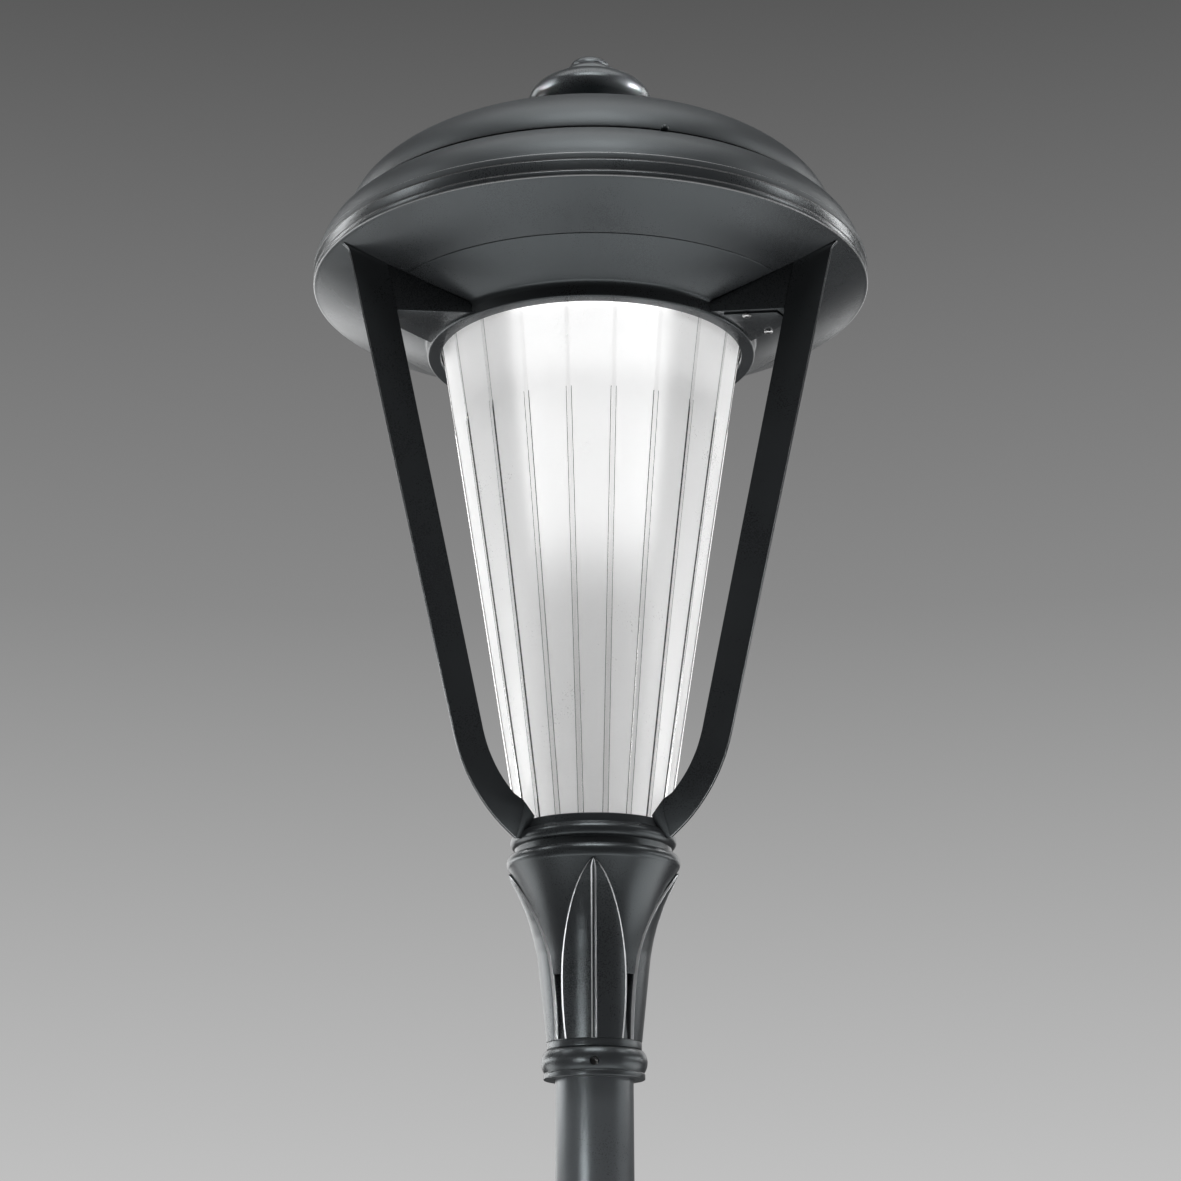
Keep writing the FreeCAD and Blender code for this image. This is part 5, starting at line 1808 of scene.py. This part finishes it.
@dataclass
class Studio:
    """Camera, lamps, floor and background.

    Attributes:
        lens: the camera's focal length.
        sensor: the width of its sensor.
        place: where it stands, in metres.
        pitch: how far it looks up, in degrees.
        roll: how far it is tipped, in degrees.
        yaw: how far it is turned, in degrees.
        floor: height of the floor.
        floor_reach: half of the floor's width.
        floor_tone: the floor's colour.
        floor_shown: how much paler the camera sees it, so that it comes near the background.
        rise: elevations between which the background darkens, in degrees.
        tones: the background's greys at the lower end, in the middle and at the upper end.
        bright_side: direction in which the background is brightest in reflections.
        side_ends: where along that direction reflections change from weak to strong.
        side_strengths: how strong they are there.
        fill: colour of the fill light.
    """

    lens: float = 80.26
    sensor: float = 36.0
    place: Place = (0.0, -2.578, -0.282)
    pitch: float = 16.78
    roll: float = -0.257
    yaw: float = 0.037
    floor: float = -1.6
    floor_reach: float = 40.0
    floor_tone: float = 0.62
    floor_shown: float = 0.36
    rise: Point = (4.0, 29.5)
    tones: Place = (0.527, 0.251, 0.0976)
    bright_side: Place = (-0.78, 0.62, 0.0)
    side_ends: Point = (-0.3, 0.5)
    side_strengths: Point = (0.08, 0.6)
    fill: Colour = (0.03, 0.03, 0.031, 1.0)

    def build(self) -> None:
        """Builds the whole studio."""
        self._camera()
        self._world()
        self._floor()
        for lamp in LAMPS:
            lamp.build()
        bpy.context.scene.view_settings.view_transform = "Standard"

    def _camera(self) -> None:
        """The camera at the photograph's viewing angle."""
        data = bpy.data.cameras.new("camera")
        data.lens = self.lens
        data.sensor_width = self.sensor
        data.sensor_fit = "HORIZONTAL"
        data.clip_end = 100.0
        camera = bpy.data.objects.new("camera", data)
        camera.location = self.place
        turn = Matrix.Rotation(math.radians(self.yaw), 4, "Z")
        turn @= Matrix.Rotation(math.radians(90.0 + self.pitch), 4, "X")
        turn @= Matrix.Rotation(math.radians(self.roll), 4, "Z")
        camera.rotation_euler = turn.to_euler()
        bpy.context.scene.collection.objects.link(camera)
        bpy.context.scene.camera = camera

    def _world(self) -> None:
        """A grey background that grows paler towards the floor, and a weaker fill light.

        Reflections see the same background, weaker towards the front right.
        """
        world = bpy.data.worlds.new("studio")
        bpy.context.scene.world = world
        world.use_nodes = True
        nodes, links = world.node_tree.nodes, world.node_tree.links
        nodes.clear()
        place = nodes.new("ShaderNodeTexCoord")
        split = nodes.new("ShaderNodeSeparateXYZ")
        links.new(place.outputs["Generated"], split.inputs[0])
        rise = nodes.new("ShaderNodeMapRange")
        for socket, degrees in zip(("From Min", "From Max"), self.rise):
            rise.inputs[socket].default_value = math.sin(math.radians(degrees))
        links.new(split.outputs["Z"], rise.inputs["Value"])
        ramp = nodes.new("ShaderNodeValToRGB")
        stops = ramp.color_ramp.elements
        low, middle, high = (grey(tone) for tone in self.tones)
        stops[0].color = low
        stops[1].color = high
        stops.new(0.5).color = middle
        links.new(rise.outputs[0], ramp.inputs["Fac"])
        shown = nodes.new("ShaderNodeBackground")
        links.new(ramp.outputs["Color"], shown.inputs["Color"])
        side = nodes.new("ShaderNodeVectorMath")
        side.operation = "DOT_PRODUCT"
        links.new(place.outputs["Generated"], side.inputs[0])
        side.inputs[1].default_value = self.bright_side
        front = nodes.new("ShaderNodeMapRange")
        ends = ("From Min", "From Max", "To Min", "To Max")
        for socket, value in zip(ends, self.side_ends + self.side_strengths):
            front.inputs[socket].default_value = value
        links.new(side.outputs["Value"], front.inputs["Value"])
        mirrored = nodes.new("ShaderNodeBackground")
        links.new(ramp.outputs["Color"], mirrored.inputs["Color"])
        links.new(front.outputs[0], mirrored.inputs["Strength"])
        fill = nodes.new("ShaderNodeBackground")
        fill.inputs["Color"].default_value = self.fill
        ray = nodes.new("ShaderNodeLightPath")
        seen = fill
        for name, background in (("Is Glossy Ray", mirrored), ("Is Transmission Ray", shown),
                                 ("Is Camera Ray", shown)):
            mix = nodes.new("ShaderNodeMixShader")
            links.new(ray.outputs[name], mix.inputs["Fac"])
            links.new(seen.outputs[0], mix.inputs[1])
            links.new(background.outputs[0], mix.inputs[2])
            seen = mix
        out = nodes.new("ShaderNodeOutputWorld")
        links.new(seen.outputs[0], out.inputs["Surface"])

    def _floor(self) -> None:
        """A plain pale floor well below the lantern, shown about as pale as the background."""
        bm = bmesh.new()
        bmesh.ops.create_grid(bm, x_segments=1, y_segments=1, size=self.floor_reach)
        bmesh.ops.translate(bm, verts=bm.verts, vec=(0, 0, self.floor))
        mesh = bpy.data.meshes.new("floor")
        bm.to_mesh(mesh)
        bm.free()
        floor = bpy.data.objects.new("floor", mesh)
        material = bpy.data.materials.new("pale floor")
        material.use_nodes = True
        nodes, links = material.node_tree.nodes, material.node_tree.links
        shader = nodes["Principled BSDF"]
        shader.inputs["Base Color"].default_value = grey(self.floor_tone)
        shader.inputs["Roughness"].default_value = 0.9
        shader.inputs["Emission Color"].default_value = grey(self.floor_shown)
        ray = nodes.new("ShaderNodeLightPath")
        links.new(ray.outputs["Is Camera Ray"], shader.inputs["Emission Strength"])
        mesh.materials.append(material)
        bpy.context.scene.collection.objects.link(floor)


def main() -> None:
    """Builds the lantern and its studio in order."""
    arms = Arms()
    canopy = Canopy()
    dress_inner_nodes()
    PoleTop().build()
    Neck().build()
    Cup().build()
    arms.build()
    canopy.build()
    Tray().build(arms, canopy)
    Diffuser().build()
    Studio().build()


if __name__ == "__main__":
    main()
